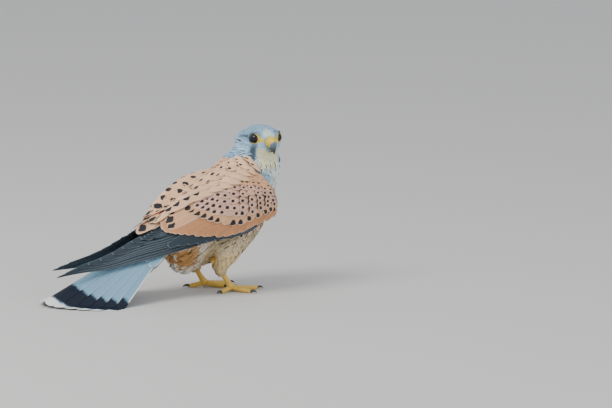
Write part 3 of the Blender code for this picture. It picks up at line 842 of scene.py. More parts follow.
@dataclass
class Plumage:
    """The bird's colours and marks as smooth fields over its body."""

    stance: Stance
    grey: Colour = (0.26, 0.42, 0.56)
    pale_grey: Colour = (0.35, 0.56, 0.74)
    cheek: Colour = (0.44, 0.66, 0.84)
    moustache: Colour = (0.065, 0.10, 0.135)
    brow_pale: Colour = (0.66, 0.84, 0.76)
    throat: Colour = (0.88, 0.86, 0.56)
    neck_side: Colour = (0.80, 0.88, 0.84)
    mantle: Colour = (0.88, 0.53, 0.31)
    rump: Colour = (0.26, 0.40, 0.50)
    breast: Colour = (0.70, 0.64, 0.48)
    # belly is the belly's own buff, darkened further with painted shade of the underside.
    belly: Colour = (0.60, 0.48, 0.30)
    thigh: Colour = (0.72, 0.54, 0.27)
    vent: Colour = (0.44, 0.23, 0.075)
    fluff: Colour = (0.84, 0.84, 0.78)
    dark: Colour = (0.035, 0.035, 0.045)
    lore: Colour = (0.78, 0.62, 0.10)
    sand: Colour = (0.74, 0.62, 0.50)
    neck_streak: Colour = (0.07, 0.09, 0.11)
    brow_spot: Spot = (11.0, 0.0, 7.0)
    stripe_right: tuple[Spot, ...] = (
        (8.6, 14.6, -4.4), (9.7, 17.1, -11.1), (12.8, 18.6, -18.7), (14.6, 19.3, -21.5),
    )
    stripe_left: tuple[Spot, ...] = (
        (8.6, 14.6, -4.4), (8.0, 15.5, -11.0), (6.0, 14.3, -18.0), (3.9, 13.0, -23.4),
    )
    line_path: tuple[Spot, ...] = ((-2.7, 16.1, 3.8), (-7.4, 24.0, 2.8))
    lore_path: tuple[Spot, ...] = ((7.5, 11.8, 0.3), (11.4, 8.0, 0.0))

    def mantle_share(self, points: Array) -> Array:
        """How far each point lies below the nape's slanting border, on the back and shoulders.

        Args:
            points: Places in the bird's millimetres.

        Returns:
            Shares from 0 to 1.
        """
        x, y, z = points[:, 0], np.abs(points[:, 1]), points[:, 2]
        border = 139.7 - 0.676 * x - 0.237 * y
        turn = np.degrees(np.arctan2(y, x - 38.0))
        behind = smooth(24.0, 40.0, turn)
        return smooth(-2.5, 2.5, border - z) * behind * smooth(58.0, 74.0, z + np.maximum(-x, 0) * 0.25)

    def head_share(self, points: Array) -> Array:
        """How far each point belongs to the head rather than the neck.

        Args:
            points: Places in the bird's millimetres.

        Returns:
            Shares from 0 to 1.
        """
        local = self.stance.in_head(points)
        reach = np.linalg.norm((local - self.stance.head_middle) / (1.0, 1.0, 1.1), axis=1)
        return smooth(31.0, 23.0, reach)

    def ground(self, points: Array) -> Array:
        """The feathers' own colour at each point, with painted shade that deepens the belly.

        Args:
            points: Places in the bird's millimetres.

        Returns:
            A colour for each.
        """
        x, y, z = points.T
        side = np.abs(y)
        local = self.stance.in_head(points)
        lx, ly, lz = local.T
        # From the breast down to the belly the buff turns deeper: partly the belly's own colour, partly
        # painted shade of the underside.
        colour = blend(self.breast, self.belly, smooth(95.0, 50.0, z))
        colour = blend(colour, self.thigh, self.leg_share(points) * 0.8)
        colour = blend(colour, self.rump, smooth(-34.0, -48.0, x) * smooth(58.0, 72.0, z))
        rear = smooth(-20.0, -34.0, x) * smooth(72.0, 60.0, z)
        colour = blend(colour, self.fluff, rear)
        lump = smooth(15.0, 8.0, np.hypot(side - 12.0, z - 40.0) * 0.8) * smooth(-26.0, -36.0, x)
        colour = blend(colour, self.vent, lump)
        nape = smooth(96.0, 112.0, z + 0.62 * (x - 40.0))
        behind = smooth(58.0, 96.0, np.degrees(np.arctan2(side, x - 38.0)))
        neck = blend(self.neck_side, self.pale_grey, behind)
        colour = blend(colour, neck, nape)
        colour = blend(colour, self.mantle, self.mantle_share(points))
        head = self.head_share(points)
        face = blend(self.grey, self.pale_grey, smooth(-6.0, 8.0, lx) * 0.7)
        face = blend(face, self.cheek, smooth(1.0, -5.0, lz))
        face = blend(face, self.brow_pale, smooth(9.0, 4.0, np.linalg.norm(local - self.brow_spot, axis=1)))
        colour = blend(colour, face, head)
        chin = smooth(13.5, 9.5, np.abs(ly + 2.0)) * smooth(-6.5, -10.0, lz) * smooth(-33.0, -24.0, lz)
        colour = blend(colour, self.throat, chin * smooth(2.0, 8.0, lx))
        lore = smooth(3.4, 1.8, self.path_gap(local, self.lore_path, self.lore_path))
        colour = blend(colour, self.lore, lore)
        return blend(colour, self.moustache, self.stripe(local))

    def leg_share(self, points: Array, top: float = 48.0) -> Array:
        """How far each point belongs to a thigh, which starts at the height top.

        Args:
            points: Places in the bird's millimetres.
            top: The height at which a thigh starts.

        Returns:
            Shares from 0 to 1.
        """
        x, y, z = points.T
        low = smooth(top, 36.0, z) * smooth(-34.0, -26.0, x)
        return low * smooth(9.0, 13.0, np.abs(y)) * smooth(30.0, 24.0, x)

    def path_gap(self, local: Array, right: Sequence[Sequence[float]],
                 left: Sequence[Sequence[float]]) -> Array:
        """Distance to the path of each point's own side of the head, paths having y outward.

        Args:
            local: Places in the head's frame.
            right: The path on the right side.
            left: The path on the left side.

        Returns:
            A distance for each.
        """
        out = local * (1.0, -1.0, 1.0)
        gaps = [path_gaps(places, path)[0].min(axis=1) for places, path in ((out, right), (local, left))]
        return np.where(local[:, 1] < 0, *gaps)

    def stripe(self, local: Array) -> Array:
        """Strength of the moustache stripes and the dark lines behind the eyes, by the head's frame.

        Args:
            local: Places in the head's frame.

        Returns:
            Shares from 0 to 1.
        """
        bar = smooth(4.8, 1.8, self.path_gap(local, self.stripe_right, self.stripe_left))
        under = smooth(-4.0, -8.0, local[:, 2])
        line = smooth(2.0, 0.9, self.path_gap(local, self.line_path, self.line_path))
        return np.clip(np.maximum(bar * (0.6 + 0.35 * under), line * 0.85), 0, 1)


@dataclass
class Skin:
    """One closed skin under the plumage of the trunk, neck, head and thighs."""

    stance: Stance
    plumage: Plumage
    nodes: tuple[str, ...] = ("torso", "neck", "head", "thigh_right", "thigh_left")
    voxel: float = 1.15
    face_depth: float = 1.1
    body_depth: float = 2.6
    tree: BVHTree | None = None
    maps: Array = field(default_factory=lambda: np.zeros((0, 2)))

    def build(self, finish: Material) -> Piece:
        """Joins the solids' outer shapes, rounds them and draws them in by the plumage's depth.

        Args:
            finish: Its material.

        Returns:
            The skin.
        """
        made = self.joined()
        even = made.data
        bm = bmesh.new()
        bm.from_mesh(even)
        self.relax(bm, 4)
        bm.normal_update()
        points = self.stance.unpacked(np.array([vert.co for vert in bm.verts], float))
        face = self.plumage.head_share(points)
        depths = self.face_depth * face + self.body_depth * (1 - face)
        for vert, depth in zip(bm.verts, depths):
            vert.co -= vert.normal * (depth * MM)
        self.relax(bm, 2)
        bmesh.ops.triangulate(bm, faces=bm.faces[:])
        bm.to_mesh(even)
        self.tree = BVHTree.FromBMesh(bm)
        bm.free()
        even.shade_smooth()
        even.materials.clear()
        even.materials.append(finish)
        self.unwrap(made)
        points = self.stance.unpacked(np.array([vert.co for vert in even.vertices], float))
        write_vectors(even, "ground", self.plumage.ground(points))
        return made

    def relax(self, bm: Shape, times: int) -> None:
        """Smooths a shape a few times."""
        for _ in range(times):
            bmesh.ops.smooth_vert(
                bm, verts=bm.verts[:], factor=0.5, use_axis_x=True, use_axis_y=True, use_axis_z=True
            )

    def joined(self) -> Piece:
        """The solids' common outer shape as one even mesh.

        Returns:
            The mesh in an object named skin.
        """
        bm = bmesh.new()
        for name in self.nodes:
            bm.from_mesh(frame["nodes"][name].data)
        bmesh.ops.remove_doubles(bm, verts=bm.verts[:], dist=0.01 * MM)
        mesh = bpy.data.meshes.new("skin_parts")
        bm.to_mesh(mesh)
        bm.free()
        rough = bpy.data.objects.new("skin", mesh)
        bpy.context.scene.collection.objects.link(rough)
        remesh = rough.modifiers.new("one_skin", "REMESH")
        remesh.mode = "VOXEL"
        remesh.voxel_size = self.voxel * MM
        graph = bpy.context.evaluated_depsgraph_get()
        even = bpy.data.meshes.new_from_object(rough.evaluated_get(graph))
        rough.modifiers.clear()
        rough.data = even
        return rough

    def unwrap(self, skin: Piece) -> None:
        """Unwraps the skin by its own shape and keeps the middle of each face on the map.

        Args:
            skin: The skin's object.
        """
        skin.data.uv_layers.new(name=BAKE_MAP)
        bpy.context.view_layer.objects.active = skin
        skin.select_set(True)
        bpy.ops.object.mode_set(mode="EDIT")
        bpy.ops.mesh.select_all(action="SELECT")
        bpy.ops.uv.smart_project(angle_limit=math.radians(66), island_margin=0.002)
        bpy.ops.object.mode_set(mode="OBJECT")
        skin.select_set(False)
        maps = np.zeros(len(skin.data.loops) * 2, np.float32)
        skin.data.uv_layers[BAKE_MAP].data.foreach_get("uv", maps)
        self.maps = maps.reshape(-1, 3, 2).mean(axis=1)

    def nearest(self, points: Array) -> tuple[Array, Array, Array]:
        """The skin under points.

        Args:
            points: Places in the bird's millimetres.

        Returns:
            Places in millimetres, normals and face numbers.
        """
        flat = self.stance.packed(points.reshape(-1, 3))
        spots = np.empty_like(flat)
        normals = np.empty_like(flat)
        numbers = np.empty(len(flat), np.int64)
        for i, point in enumerate(flat):
            spot, normal, number, _ = self.tree.find_nearest(point)
            spots[i] = spot
            normals[i] = normal
            numbers[i] = number
        shape = points.shape
        return self.stance.unpacked(spots).reshape(shape), normals.reshape(shape), numbers.reshape(shape[:-1])


@dataclass(frozen=True)
class Tract:
    """One tract of body feathers: where it grows is a field over the skin, with sizes in millimetres."""

    name: str
    spacing: float
    length: float
    half: float
    lift: float
    grow: Callable[[Array], Array]
    sway: float = 6.0
    ragged: float = 0.0
    vane: Vane = Vane(7, 4)
    blunt: float = 0.34
    sunk: float = 0.35


@dataclass
class BodyCoat:
    """The contour feathers of head, neck, trunk and thighs, which lie along the body from the bill back."""

    stance: Stance
    skin: Skin
    plumage: Plumage
    seed: int = 7
    spine: tuple[Spot, ...] = (
        (47, -4, 150), (45, 0, 128), (36, 0, 104), (14, 0, 82), (-20, 0, 66), (-50, 0, 62), (-75, 0, 55),
    )
    bill_root: Spot = (17.0, 0.0, -5.0)
    eye_gaps: tuple[Spot, ...] = ((5.5, 13.5, 0.0), (5.5, -13.5, 0.0))

    def flow(self, points: Array) -> Array:
        """The way feathers point at each place: away from the bill, then along the spine to the tail.

        Args:
            points: Places in the bird's millimetres.

        Returns:
            A unit vector for each.
        """
        gaps, steps = path_gaps(points, self.spine)
        weights = 1.0 / (gaps + 2.0) ** 4
        along = unit((weights[..., None] * unit(steps)[None]).sum(1))
        bill = np.array(self.stance.head_matrix() @ Vector(self.bill_root))
        radial = unit(points - bill)
        local = self.stance.in_head(points)
        reach = np.linalg.norm(local - self.stance.head_middle, axis=1)
        near = smooth(44.0, 20.0, reach)
        x, y, z = points.T
        leg = smooth(44.0, 30.0, z) * smooth(8.0, 13.0, np.abs(y)) * smooth(-34.0, -22.0, x)
        course = blend(along, radial, near)
        course = blend(course, unit(np.array([-0.25, 0.0, -1.0])), leg)
        belly = smooth(90.0, 60.0, z) * smooth(10.0, 30.0, x)
        course = blend(course, unit(np.array([-0.55, 0.0, -0.9])), belly * 0.5)
        return unit(course)

    def roots(self, tract: Tract, random: np.random.Generator, surface: Piece) -> Array:
        """Evenly spaced places where the tract grows, by throwing darts on the skin.

        Args:
            tract: Its sizes and where it grows.
            random: The tract's own random numbers.
            surface: The skin's object.

        Returns:
            The places, in millimetres.
        """
        mesh = surface.data
        corners = np.zeros(len(mesh.vertices) * 3)
        mesh.vertices.foreach_get("co", corners)
        corners = self.stance.unpacked(corners.reshape(-1, 3))
        loops = np.zeros(len(mesh.loops), np.int64)
        mesh.loops.foreach_get("vertex_index", loops)
        triangles = corners[loops.reshape(-1, 3)]
        edges = triangles[:, 1:] - triangles[:, :1]
        areas = np.linalg.norm(np.cross(edges[:, 0], edges[:, 1]), axis=1) / 2
        weights = areas * (tract.grow(triangles.mean(axis=1)) > 0.02)
        tries = int(weights.sum() / tract.spacing**2 * 5)
        picks = random.choice(len(weights), tries, p=weights / weights.sum())
        a = np.sqrt(random.random((2, tries, 1))[0])
        b = random.random((tries, 1))
        first, second, third = triangles[picks].swapaxes(0, 1)
        places = first * (1 - a) + second * a * (1 - b) + third * a * b
        strength = tract.grow(places)
        cells: dict[tuple[int, int, int], list[Array]] = {}
        kept = []
        for place, share in zip(places, strength):
            if random.random() > share * 4:
                continue
            key = tuple(int(v // tract.spacing) for v in place)
            near = (
                other
                for i in (-1, 0, 1) for j in (-1, 0, 1) for k in (-1, 0, 1)
                for other in cells.get((key[0] + i, key[1] + j, key[2] + k), ())
            )
            if any(np.dot(place - other, place - other) < tract.spacing**2 for other in near):
                continue
            cells.setdefault(key, []).append(place)
            kept.append(place)
        return np.array(kept)

    def lay(self, sheaf: Sheaf, tract: Tract, roots: Array, random: np.random.Generator, marks: Marks,
            scale: Array) -> None:
        """Bends a tract's feathers over the skin and adds them to a sheaf.

        Args:
            sheaf: Where they go.
            tract: Their sizes.
            roots: Where they grow.
            random: The tract's own random numbers.
            marks: Their colours and marks.
            scale: A factor on each one's size.
        """
        count = len(roots)
        spots, normals, numbers = self.skin.nearest(roots)
        course = self.flow(roots)
        course = unit(course - (course * normals).sum(1, keepdims=True) * normals)
        side = np.cross(normals, course)
        sway = np.radians(random.normal(0, tract.sway, (count, 1)))
        cos, sin = np.cos(sway), np.sin(sway)
        course, side = course * cos + side * sin, side * cos - course * sin
        lengths = tract.length * scale * random.uniform(0.88, 1.12, count)
        halves = tract.half * scale * random.uniform(0.9, 1.1, count)
        s, t, deep = sheaf.grid.T
        width = outline(t, 0.35, tract.blunt)[None]
        width = width * (1 + tract.ragged * random.normal(0, 1, (count, 1)) * np.sin(t * 19.0)[None])
        reach = t - rounding(s, t) * tract.half / tract.length * max(tract.blunt, 0.4)
        flat = spots[:, None] + course[:, None] * (lengths[:, None] * reach)[..., None]
        flat = flat + side[:, None] * (halves[:, None] * width * s)[..., None]
        under, up, _ = self.skin.nearest(flat)
        lift = tract.lift * scale * random.uniform(0.75, 1.25, count)
        height = (lift[:, None] + tract.sunk) * smooth(0, 1, t)[None] - tract.sunk
        height = height - 0.075 * halves[:, None] * (s * s)[None] - deep[None] * VANE_DEPTH
        marks.edge[:, 2] += random.normal(0, 0.06, count)
        middle = self.skin.maps[numbers]
        patches = np.concatenate([middle - PATCH / 2, np.full((count, 2), PATCH)], axis=1)
        sheaf.add(under + up * height[..., None], lengths, halves, marks, patches)

    def tracts(self) -> list[Tract]:
        """The tracts from the face to the vent, with the share of growth of each over the skin.

        Returns:
            The tracts.
        """
        plumage = self.plumage

        eyes = np.array(self.eye_gaps)

        def near_bill(points: Array) -> Array:
            """The front of the head."""
            return smooth(2.0, 7.0, self.stance.in_head(points)[:, 0])

        def head(points: Array) -> Array:
            """The head without the eyes."""
            local = self.stance.in_head(points)
            gap = np.linalg.norm(local[:, None] - eyes, axis=-1).min(axis=1)
            return plumage.head_share(points) * smooth(5.0, 5.6, gap)

        def face(points: Array) -> Array:
            """The face."""
            return head(points) * near_bill(points)

        def crown(points: Array) -> Array:
            """The rest of the head."""
            return head(points) * (1 - near_bill(points))

        def mantle(points: Array) -> Array:
            """The upper back."""
            return plumage.mantle_share(points) * (1 - plumage.head_share(points))

        def leg(points: Array) -> Array:
            """The thighs."""
            return plumage.leg_share(points, 46.0)

        def neck(points: Array) -> Array:
            """The neck."""
            high = smooth(92.0, 104.0, points[:, 2] + 0.3 * (points[:, 0] - 40.0))
            return high * (1 - plumage.head_share(points)) * (1 - mantle(points))

        def vent(points: Array) -> Array:
            """Behind the thighs."""
            return smooth(-20.0, -32.0, points[:, 0]) * smooth(62.0, 52.0, points[:, 2]) * (1 - leg(points))

        def trunk(points: Array) -> Array:
            """All that is left."""
            rest = (1 - neck(points)) * (1 - mantle(points)) * (1 - leg(points))
            return rest * (1 - plumage.head_share(points)) * (1 - vent(points))

        return [
            Tract("coat_face", 0.8, 2.7, 0.62, 0.5, face, 6.0, 0.0, Vane(4, 2), 0.4),
            Tract("coat_crown", 1.0, 4.2, 0.95, 0.7, crown, 4.0, 0.0, Vane(4, 2), 0.35),
            Tract("coat_neck", 1.4, 7.5, 1.25, 1.3, neck, 5.0, 0.03, Vane(6, 2), 0.35),
            Tract("coat_mantle", 3.0, 12.5, 4.2, 1.9, mantle, 3.0, 0.0, Vane(7, 4), 0.6),
            Tract("coat_trunk", 2.3, 11.5, 2.4, 2.1, trunk, 7.0, 0.05, Vane(7, 3), 0.35),
            Tract("coat_thighs", 1.6, 8.5, 1.3, 1.6, leg, 8.0, 0.05, Vane(6, 2), 0.3),
            Tract("coat_vent", 1.75, 18.0, 1.5, 3.2, vent, 12.0, 0.08, Vane(8, 2), 0.2),
        ]

    def marks(self, tract: Tract, roots: Array, random: np.random.Generator) -> tuple[Marks, Array]:
        """The marks and the size factor of each feather of a tract.

        Args:
            tract: Its sizes and where it grows.
            roots: Where the feathers grow.
            random: The tract's own random numbers.

        Returns:
            The marks and the factors.
        """
        count = len(roots)
        tips = roots + self.flow(roots) * tract.length * 0.6
        ground = self.plumage.ground(tips)
        marks = Marks.plain(count, ground, self.plumage.dark)
        marks.fringe = np.clip(ground * 1.25 + 0.03, 0, 1)
        marks.edge[:, 0] = 0.5
        marks.edge[:, 1] = tract.length * 0.10
        local = self.stance.in_head(tips)
        scale = np.ones(count)
        mantle = self.plumage.mantle_share(tips)
        x, _, z = tips.T
        if tract.name in ("coat_face", "coat_crown"):
            marks.mark = ground * 0.45
            marks.streak[:, 0] = 0.4
            marks.streak[:, 1] = random.uniform(0.1, 0.6, count) * smooth(12.0, 7.0, local[:, 0])
            marks.edge[:, 0] = 0.5
        elif tract.name == "coat_neck":
            front = smooth(0.3, 1.0, self.plumage.mantle_share(tips + np.array([0, 0, -14.0])))
            marks.mark = blend(ground * 0.3, self.plumage.neck_streak, front)
            marks.streak[:, 0] = 0.28
            marks.streak[:, 1] = random.uniform(0.1, 0.7, count) * (random.random(count) < 0.55)
            marks.edge[:, 0] = 0.55
            marks.fringe = np.clip(ground * 1.25 + 0.05, 0, 1)
            scale = 0.72 + 0.28 * smooth(150.0, 122.0, z)
        elif tract.name == "coat_mantle":
            back = smooth(20.0, -10.0, x)
            marked = random.random(count) < 0.25 + 0.5 * back
            marks.spot[:, 0] = (0.22 + 0.22 * back) * marked
            marks.spot[:, 1] = 1.3 + 1.1 * back
            marks.spot[:, 2] = 3.0 + 0.8 * back
            marks.fringe = blend(ground, self.plumage.sand, np.full(count, 0.5))
            marks.edge[:, 0] = 0.35
            marks.edge[:, 1] = 0.9
            scale = 0.68 + 0.40 * back
        elif tract.name == "coat_trunk":
            front = smooth(40.0, 66.0, z) * smooth(-30.0, 0.0, x) * (1 - mantle)
            rump = smooth(-34.0, -44.0, x) * smooth(58.0, 72.0, z)
            marked = (random.random(count) < 0.55 * front) * (1 - rump)
            marks.streak[:, 0] = random.uniform(0.24, 0.4, count) * marked
            marks.streak[:, 1] = 0.95 * marked
            marks.edge[:, 0] = 0.6
        elif tract.name == "coat_thighs":
            marks.streak[:, 0] = 0.14
            marks.streak[:, 1] = 0.5 * (random.random(count) < 0.12)
            scale = 0.62 + 0.38 * smooth(16.0, 40.0, z)
        else:
            marks.streak[:, 0] = 0.3
            marks.streak[:, 1] = 0.2 * (random.random(count) < 0.3)
            scale = random.uniform(0.75, 1.15, count) * (1 + 0.45 * smooth(-36.0, -52.0, x))
        return marks, scale

    def build(self, surface: Piece, finish: Material) -> list[Piece]:
        """Grows every tract on the skin.

        Args:
            surface: The skin's object.
            finish: Its material.

        Returns:
            The pieces.
        """
        made = []
        for number, tract in enumerate(self.tracts()):
            random = np.random.default_rng(self.seed + number)
            roots = self.roots(tract, random, surface)
            marks, scale = self.marks(tract, roots, random)
            sheaf = Sheaf(tract.name, tract.vane, self.stance)
            self.lay(sheaf, tract, roots, random, marks, scale)
            made.append(sheaf.build(finish))
            log.info("%s: %d feathers, %d faces", tract.name, len(roots), len(made[-1].data.polygons))
        return made


@dataclass(frozen=True)
class CovertRow:
    """A row of wing feathers, by where its tips lie on the folded wing.

    tips are points (place from wrist to wing tip, share across from low to high edge). Sizes in millimetres
    are given at the row's first and last feather.
    """

    name: str
    count: int
    tips: tuple[tuple[float, float], ...]
    turn: tuple[float, float]
    length: tuple[float, float]
    half: tuple[float, float]
    lift: float
    spot: tuple[float, float]
    tone: str = "rufous"
    bend: float = 0.0
    fringe: float = 0.6


@dataclass
class FoldedWing:
    """A folded wing: its core, flight feathers in their stack, and the rows of coverts and scapulars."""

    stance: Stance
    side: Side
    skin: Skin
    stations: tuple[Row, ...] = (
        (0.00, 50, 33, 80, 41, 32, 104, 3.0),
        (0.08, 39, 41, 73, 28, 29, 120, 8.0),
        (0.25, 5, 45, 64, -8, 22, 124, 9.0),
        (0.45, -42, 39, 54, -52, 9, 107, 8.0),
        (0.62, -85, 28, 45, -88, 4, 72, 5.0),
        (0.80, -132, 15, 36, -130, 7.5, 46, 2.0),
        (1.00, -190, 3.5, 26, -188, 4.5, 31, 0.4),
    )
    cross_rise: float = 6.5
    cross_start: float = 0.5
    wrist_round: float = 3.0
    fill: float = 3.6
    shoulder_sink: float = 4.5
    map_rows: float = 16.3
    layer: float = 0.42
    drop: float = 3.0
    flight_root: float = 0.45
    chord: float = 245.0
    curve: float = 262.0
    primary_tips: tuple[float, ...] = (0.665, 0.705, 0.75, 0.795, 0.845, 0.89, 0.935, 0.975, 1.0, 0.96)
    secondaries: int = 6
    tertials: int = 3
    rufous: Colour = (0.70, 0.39, 0.21)
    pink: Colour = (0.70, 0.42, 0.31)
    deep: Colour = (0.56, 0.26, 0.12)
    gold: Colour = (0.86, 0.54, 0.33)
    slate: Colour = (0.032, 0.046, 0.060)
    grey_edge: Colour = (0.22, 0.28, 0.33)
    cream: Colour = (0.74, 0.64, 0.52)
    black: Colour = (0.022, 0.022, 0.028)
    rows: tuple[CovertRow, ...] = (
        CovertRow("alula", 3, ((0.26, 0.035), (0.33, 0.03)), (4, 2), (30, 42), (3.6, 3.8), -1.6, (0, 0),
                  "slate", 0.0, 0.3),
        CovertRow("primary_covert", 7, ((0.36, 0.02), (0.47, 0.05), (0.58, 0.16)), (3, 6), (52, 66),
                  (3.6, 4.2), -1.9, (0, 0), "slate", 0.0, 0.3),
        CovertRow("greater", 19, ((0.07, 0.05), (0.23, 0.05), (0.33, 0.03), (0.41, 0.09), (0.48, 0.19),
                  (0.54, 0.36), (0.575, 0.56), (0.565, 0.74)), (22, 2), (20, 48), (3.2, 6.6), -0.9,
                  (0.0, 0.0), "deep", 3.0, 0.4),
        CovertRow("greater_inner", 3, ((0.552, 0.52), (0.548, 0.64), (0.53, 0.76)), (6, 0), (42, 38),
                  (7.0, 7.0), -0.5, (0.62, 0.66), "rufous", 3.0, 0.35),
        CovertRow("median", 14, ((0.06, 0.17), (0.13, 0.155), (0.2, 0.14), (0.28, 0.13), (0.335, 0.17),
                  (0.38, 0.27), (0.42, 0.38), (0.455, 0.52), (0.47, 0.62)), (54, 4), (12, 26), (3.5, 6.0),
                  -0.45, (0.85, 0.62), "rufous", 2.0, 0.42),
        CovertRow("lesser_a", 13, ((0.05, 0.25), (0.14, 0.255), (0.25, 0.235), (0.33, 0.32), (0.39, 0.44),
                  (0.43, 0.6)), (50, 4), (10, 18), (3.3, 5.0), -0.22, (0.62, 0.42), "pink", 1.0, 0.28),
        CovertRow("lesser_b", 13, ((0.045, 0.33), (0.13, 0.335), (0.25, 0.325), (0.33, 0.41),
                  (0.385, 0.53), (0.42, 0.68)), (46, 4), (10, 16), (3.3, 4.8), -0.05, (0.52, 0.38),
                  "pink", 1.0, 0.22),
        CovertRow("lesser_c", 13, ((0.035, 0.41), (0.12, 0.42), (0.24, 0.43), (0.33, 0.51), (0.38, 0.62),
                  (0.4, 0.74)), (42, 4), (10, 15), (3.3, 4.6), 0.1, (0.46, 0.36), "pink", 1.0, 0.18),
        CovertRow("lesser_d", 12, ((0.03, 0.49), (0.11, 0.51), (0.22, 0.54), (0.32, 0.61), (0.37, 0.71)),
                  (36, 2), (10, 14), (3.3, 4.6), 0.22, (0.42, 0.34), "pink", 1.0, 0.14),
        CovertRow("lesser_e", 12, ((0.03, 0.57), (0.1, 0.59), (0.2, 0.64), (0.3, 0.7), (0.34, 0.77)),
                  (30, 0), (10, 14), (3.5, 4.6), 0.32, (0.36, 0.3), "pink", 1.0, 0.12),
        CovertRow("lesser_f", 11, ((0.025, 0.66), (0.09, 0.68), (0.18, 0.73), (0.27, 0.79)), (24, 0),
                  (10, 14), (3.8, 4.6), 0.42, (0.2, 0.28), "rufous", 1.0, 0.12),
        CovertRow("lesser_g", 10, ((0.02, 0.75), (0.08, 0.77), (0.15, 0.82), (0.22, 0.88)), (20, 0),
                  (10, 14), (4.0, 4.6), 0.5, (0.0, 0.2), "rufous", 1.0, 0.12),
        CovertRow("lesser_h", 8, ((0.015, 0.85), (0.07, 0.87), (0.13, 0.91), (0.18, 0.96)), (14, -4),
                  (10, 14), (4.2, 4.8), 0.6, (0.0, 0.0), "rufous", 1.0, 0.12),
        CovertRow("scapular_tip", 4, ((0.605, 0.98), (0.585, 0.86), (0.565, 1.04)), (0, 0), (40, 36),
                  (7.5, 7.0), 0.7, (0.66, 0.66), "gold", 1.0, 0.35),
        CovertRow("scapular_a", 8, ((0.53, 0.82), (0.47, 0.78), (0.39, 0.78), (0.31, 0.8), (0.22, 0.84)),
                  (-2, -4), (30, 20), (6.8, 5.4), 1.5, (0.62, 0.42), "gold", 1.0, 0.2),
        CovertRow("scapular_b", 8, ((0.54, 0.94), (0.46, 0.89), (0.38, 0.87), (0.29, 0.88), (0.19, 0.92)),
                  (-2, -4), (28, 18), (6.6, 5.2), 1.75, (0.6, 0.38), "gold", 1.0, 0.2),
        CovertRow("scapular_c", 8, ((0.53, 1.05), (0.45, 1.0), (0.36, 0.96), (0.26, 0.97), (0.15, 0.99)),
                  (-2, -4), (26, 16), (6.4, 5.0), 1.95, (0.56, 0.32), "gold", 1.0, 0.2),
        CovertRow("scapular_d", 8, ((0.49, 1.15), (0.41, 1.1), (0.32, 1.06), (0.22, 1.07), (0.11, 1.08)),
                  (-2, -4), (24, 15), (6.0, 4.8), 2.1, (0.5, 0.28), "gold", 1.0, 0.2),
        CovertRow("scapular_e", 7, ((0.42, 1.24), (0.32, 1.18), (0.22, 1.18), (0.12, 1.19)), (-4, -6),
                  (22, 14), (5.6, 4.6), 2.0, (0.46, 0.24), "gold", 1.0, 0.2),
    )
    random: np.random.Generator = field(default_factory=lambda: np.random.default_rng(31))

    def __post_init__(self) -> None:
        """Reads the stations into even tables of the wing's two edges and its bulge."""
        self.places = np.linspace(0, 1, 401)
        rows = np.array([eased(self.stations, place) for place in self.places])
        flip = np.array([1.0, self.side.value, 1.0])
        share = np.clip((self.places - self.cross_start) / (1 - self.cross_start), 0, 1)
        rise = self.cross_rise * share * (2 - share) * (self.side is Side.LEFT)
        self.low = rows[:, :3] * flip
        self.high = rows[:, 3:6] * flip
        fill = smooth(0.55, 0.75, self.places) * smooth(1.02, 0.9, self.places)
        self.low[:, 2] += rise - fill * self.fill * (self.side is Side.LEFT)
        self.high[:, 2] += rise + fill * self.fill * (self.side is Side.RIGHT)
        self.bulge = rows[:, 6]
        self.low_run = np.gradient(self.low, self.places, axis=0)
        self.high_run = np.gradient(self.high, self.places, axis=0)
        self.cells = 0

    def read(self, table: Array, place: Array) -> Array:
        """A table of the wing at places."""
        if table.ndim == 1:
            return np.interp(place, self.places, table)
        return np.stack([np.interp(place, self.places, column) for column in table.T], axis=-1)

    def point(self, place: Array, across: Array, height: Array) -> Array:
        """Points on or over the wing's outer surface, which curls inwards ahead of the wrist.

        Args:
            place: From wrist to tip, below 0 round the wrist.
            across: From the low to the high edge.
            height: Millimetres above the surface.

        Returns:
            The points, in millimetres.
        """
        inside = np.clip(place, 0.0, 1.0)
        low, high = self.read(self.low, inside), self.read(self.high, inside)
        edge = np.clip(across, 0, 1)[..., None]
        run = unit(self.read(self.low_run, inside) * (1 - edge) + self.read(self.high_run, inside) * edge)
        span = high - low
        width = np.linalg.norm(span, axis=-1)
        normal = unit(np.cross(span, run)) * -self.side.value
        bulge = self.read(self.bulge, inside)
        slope = bulge * 4 * (1 - 2 * across) / np.maximum(width, 1e-6)
        leaning = unit(normal - unit(span) * slope[..., None])
        surface = low + span * across[..., None] + normal * (bulge * 4 * across * (1 - across))[..., None]
        ahead = np.maximum(-place, 0.0) * 200.0
        angle = np.minimum(ahead / self.wrist_round, 2.0)
        forward = -run * (self.wrist_round * np.sin(angle))[..., None]
        inward = leaning * (self.wrist_round * (1 - np.cos(angle)))[..., None]
        tilted = leaning * np.cos(angle)[..., None] - run * np.sin(angle)[..., None]
        return surface + forward - inward + tilted * height[..., None]

    def spans(self, place: Array) -> Array:
        """The wing's width at places."""
        return np.linalg.norm(self.read(self.high, place) - self.read(self.low, place), axis=-1)

    def patch(self) -> Array:
        """The next free cell of the bake map, which large feathers share in a grid of twelve columns."""
        self.cells += 1
        return map_cell(self.cells - 1, MAP_EDGE, self.map_rows, 0.9 / MAP_PITCH, 0.9 / self.map_rows)

    def lay(self, sheaf: Sheaf, place: Array, across: Array, height: Array, length: float,
            half: float, marks: Marks) -> None:
        """Adds one feather by its vertices' places on the wing, or over the back beyond its high edge.

        Args:
            sheaf: Where it goes.
            place: Its vertices' places from wrist to wing tip.
            across: The same from the low to the high edge.
            height: Their heights over the surface.
            length: Its length.
            half: Its half width.
            marks: Its colours and marks.
        """
        points = self.point(place, across, height)
        beyond = smooth(0.82, 1.04, across) * smooth(0.62, 0.5, place)
        if beyond.max() > 0:
            spots, normals, _ = self.skin.nearest(points)
            over = spots + normals * (self.skin.body_depth * 0.8 + np.maximum(height, -1.0))[:, None]
            points = blend(points, over, beyond)
        sheaf.add(points[None], np.array([length]), np.array([half]), marks, self.patch())

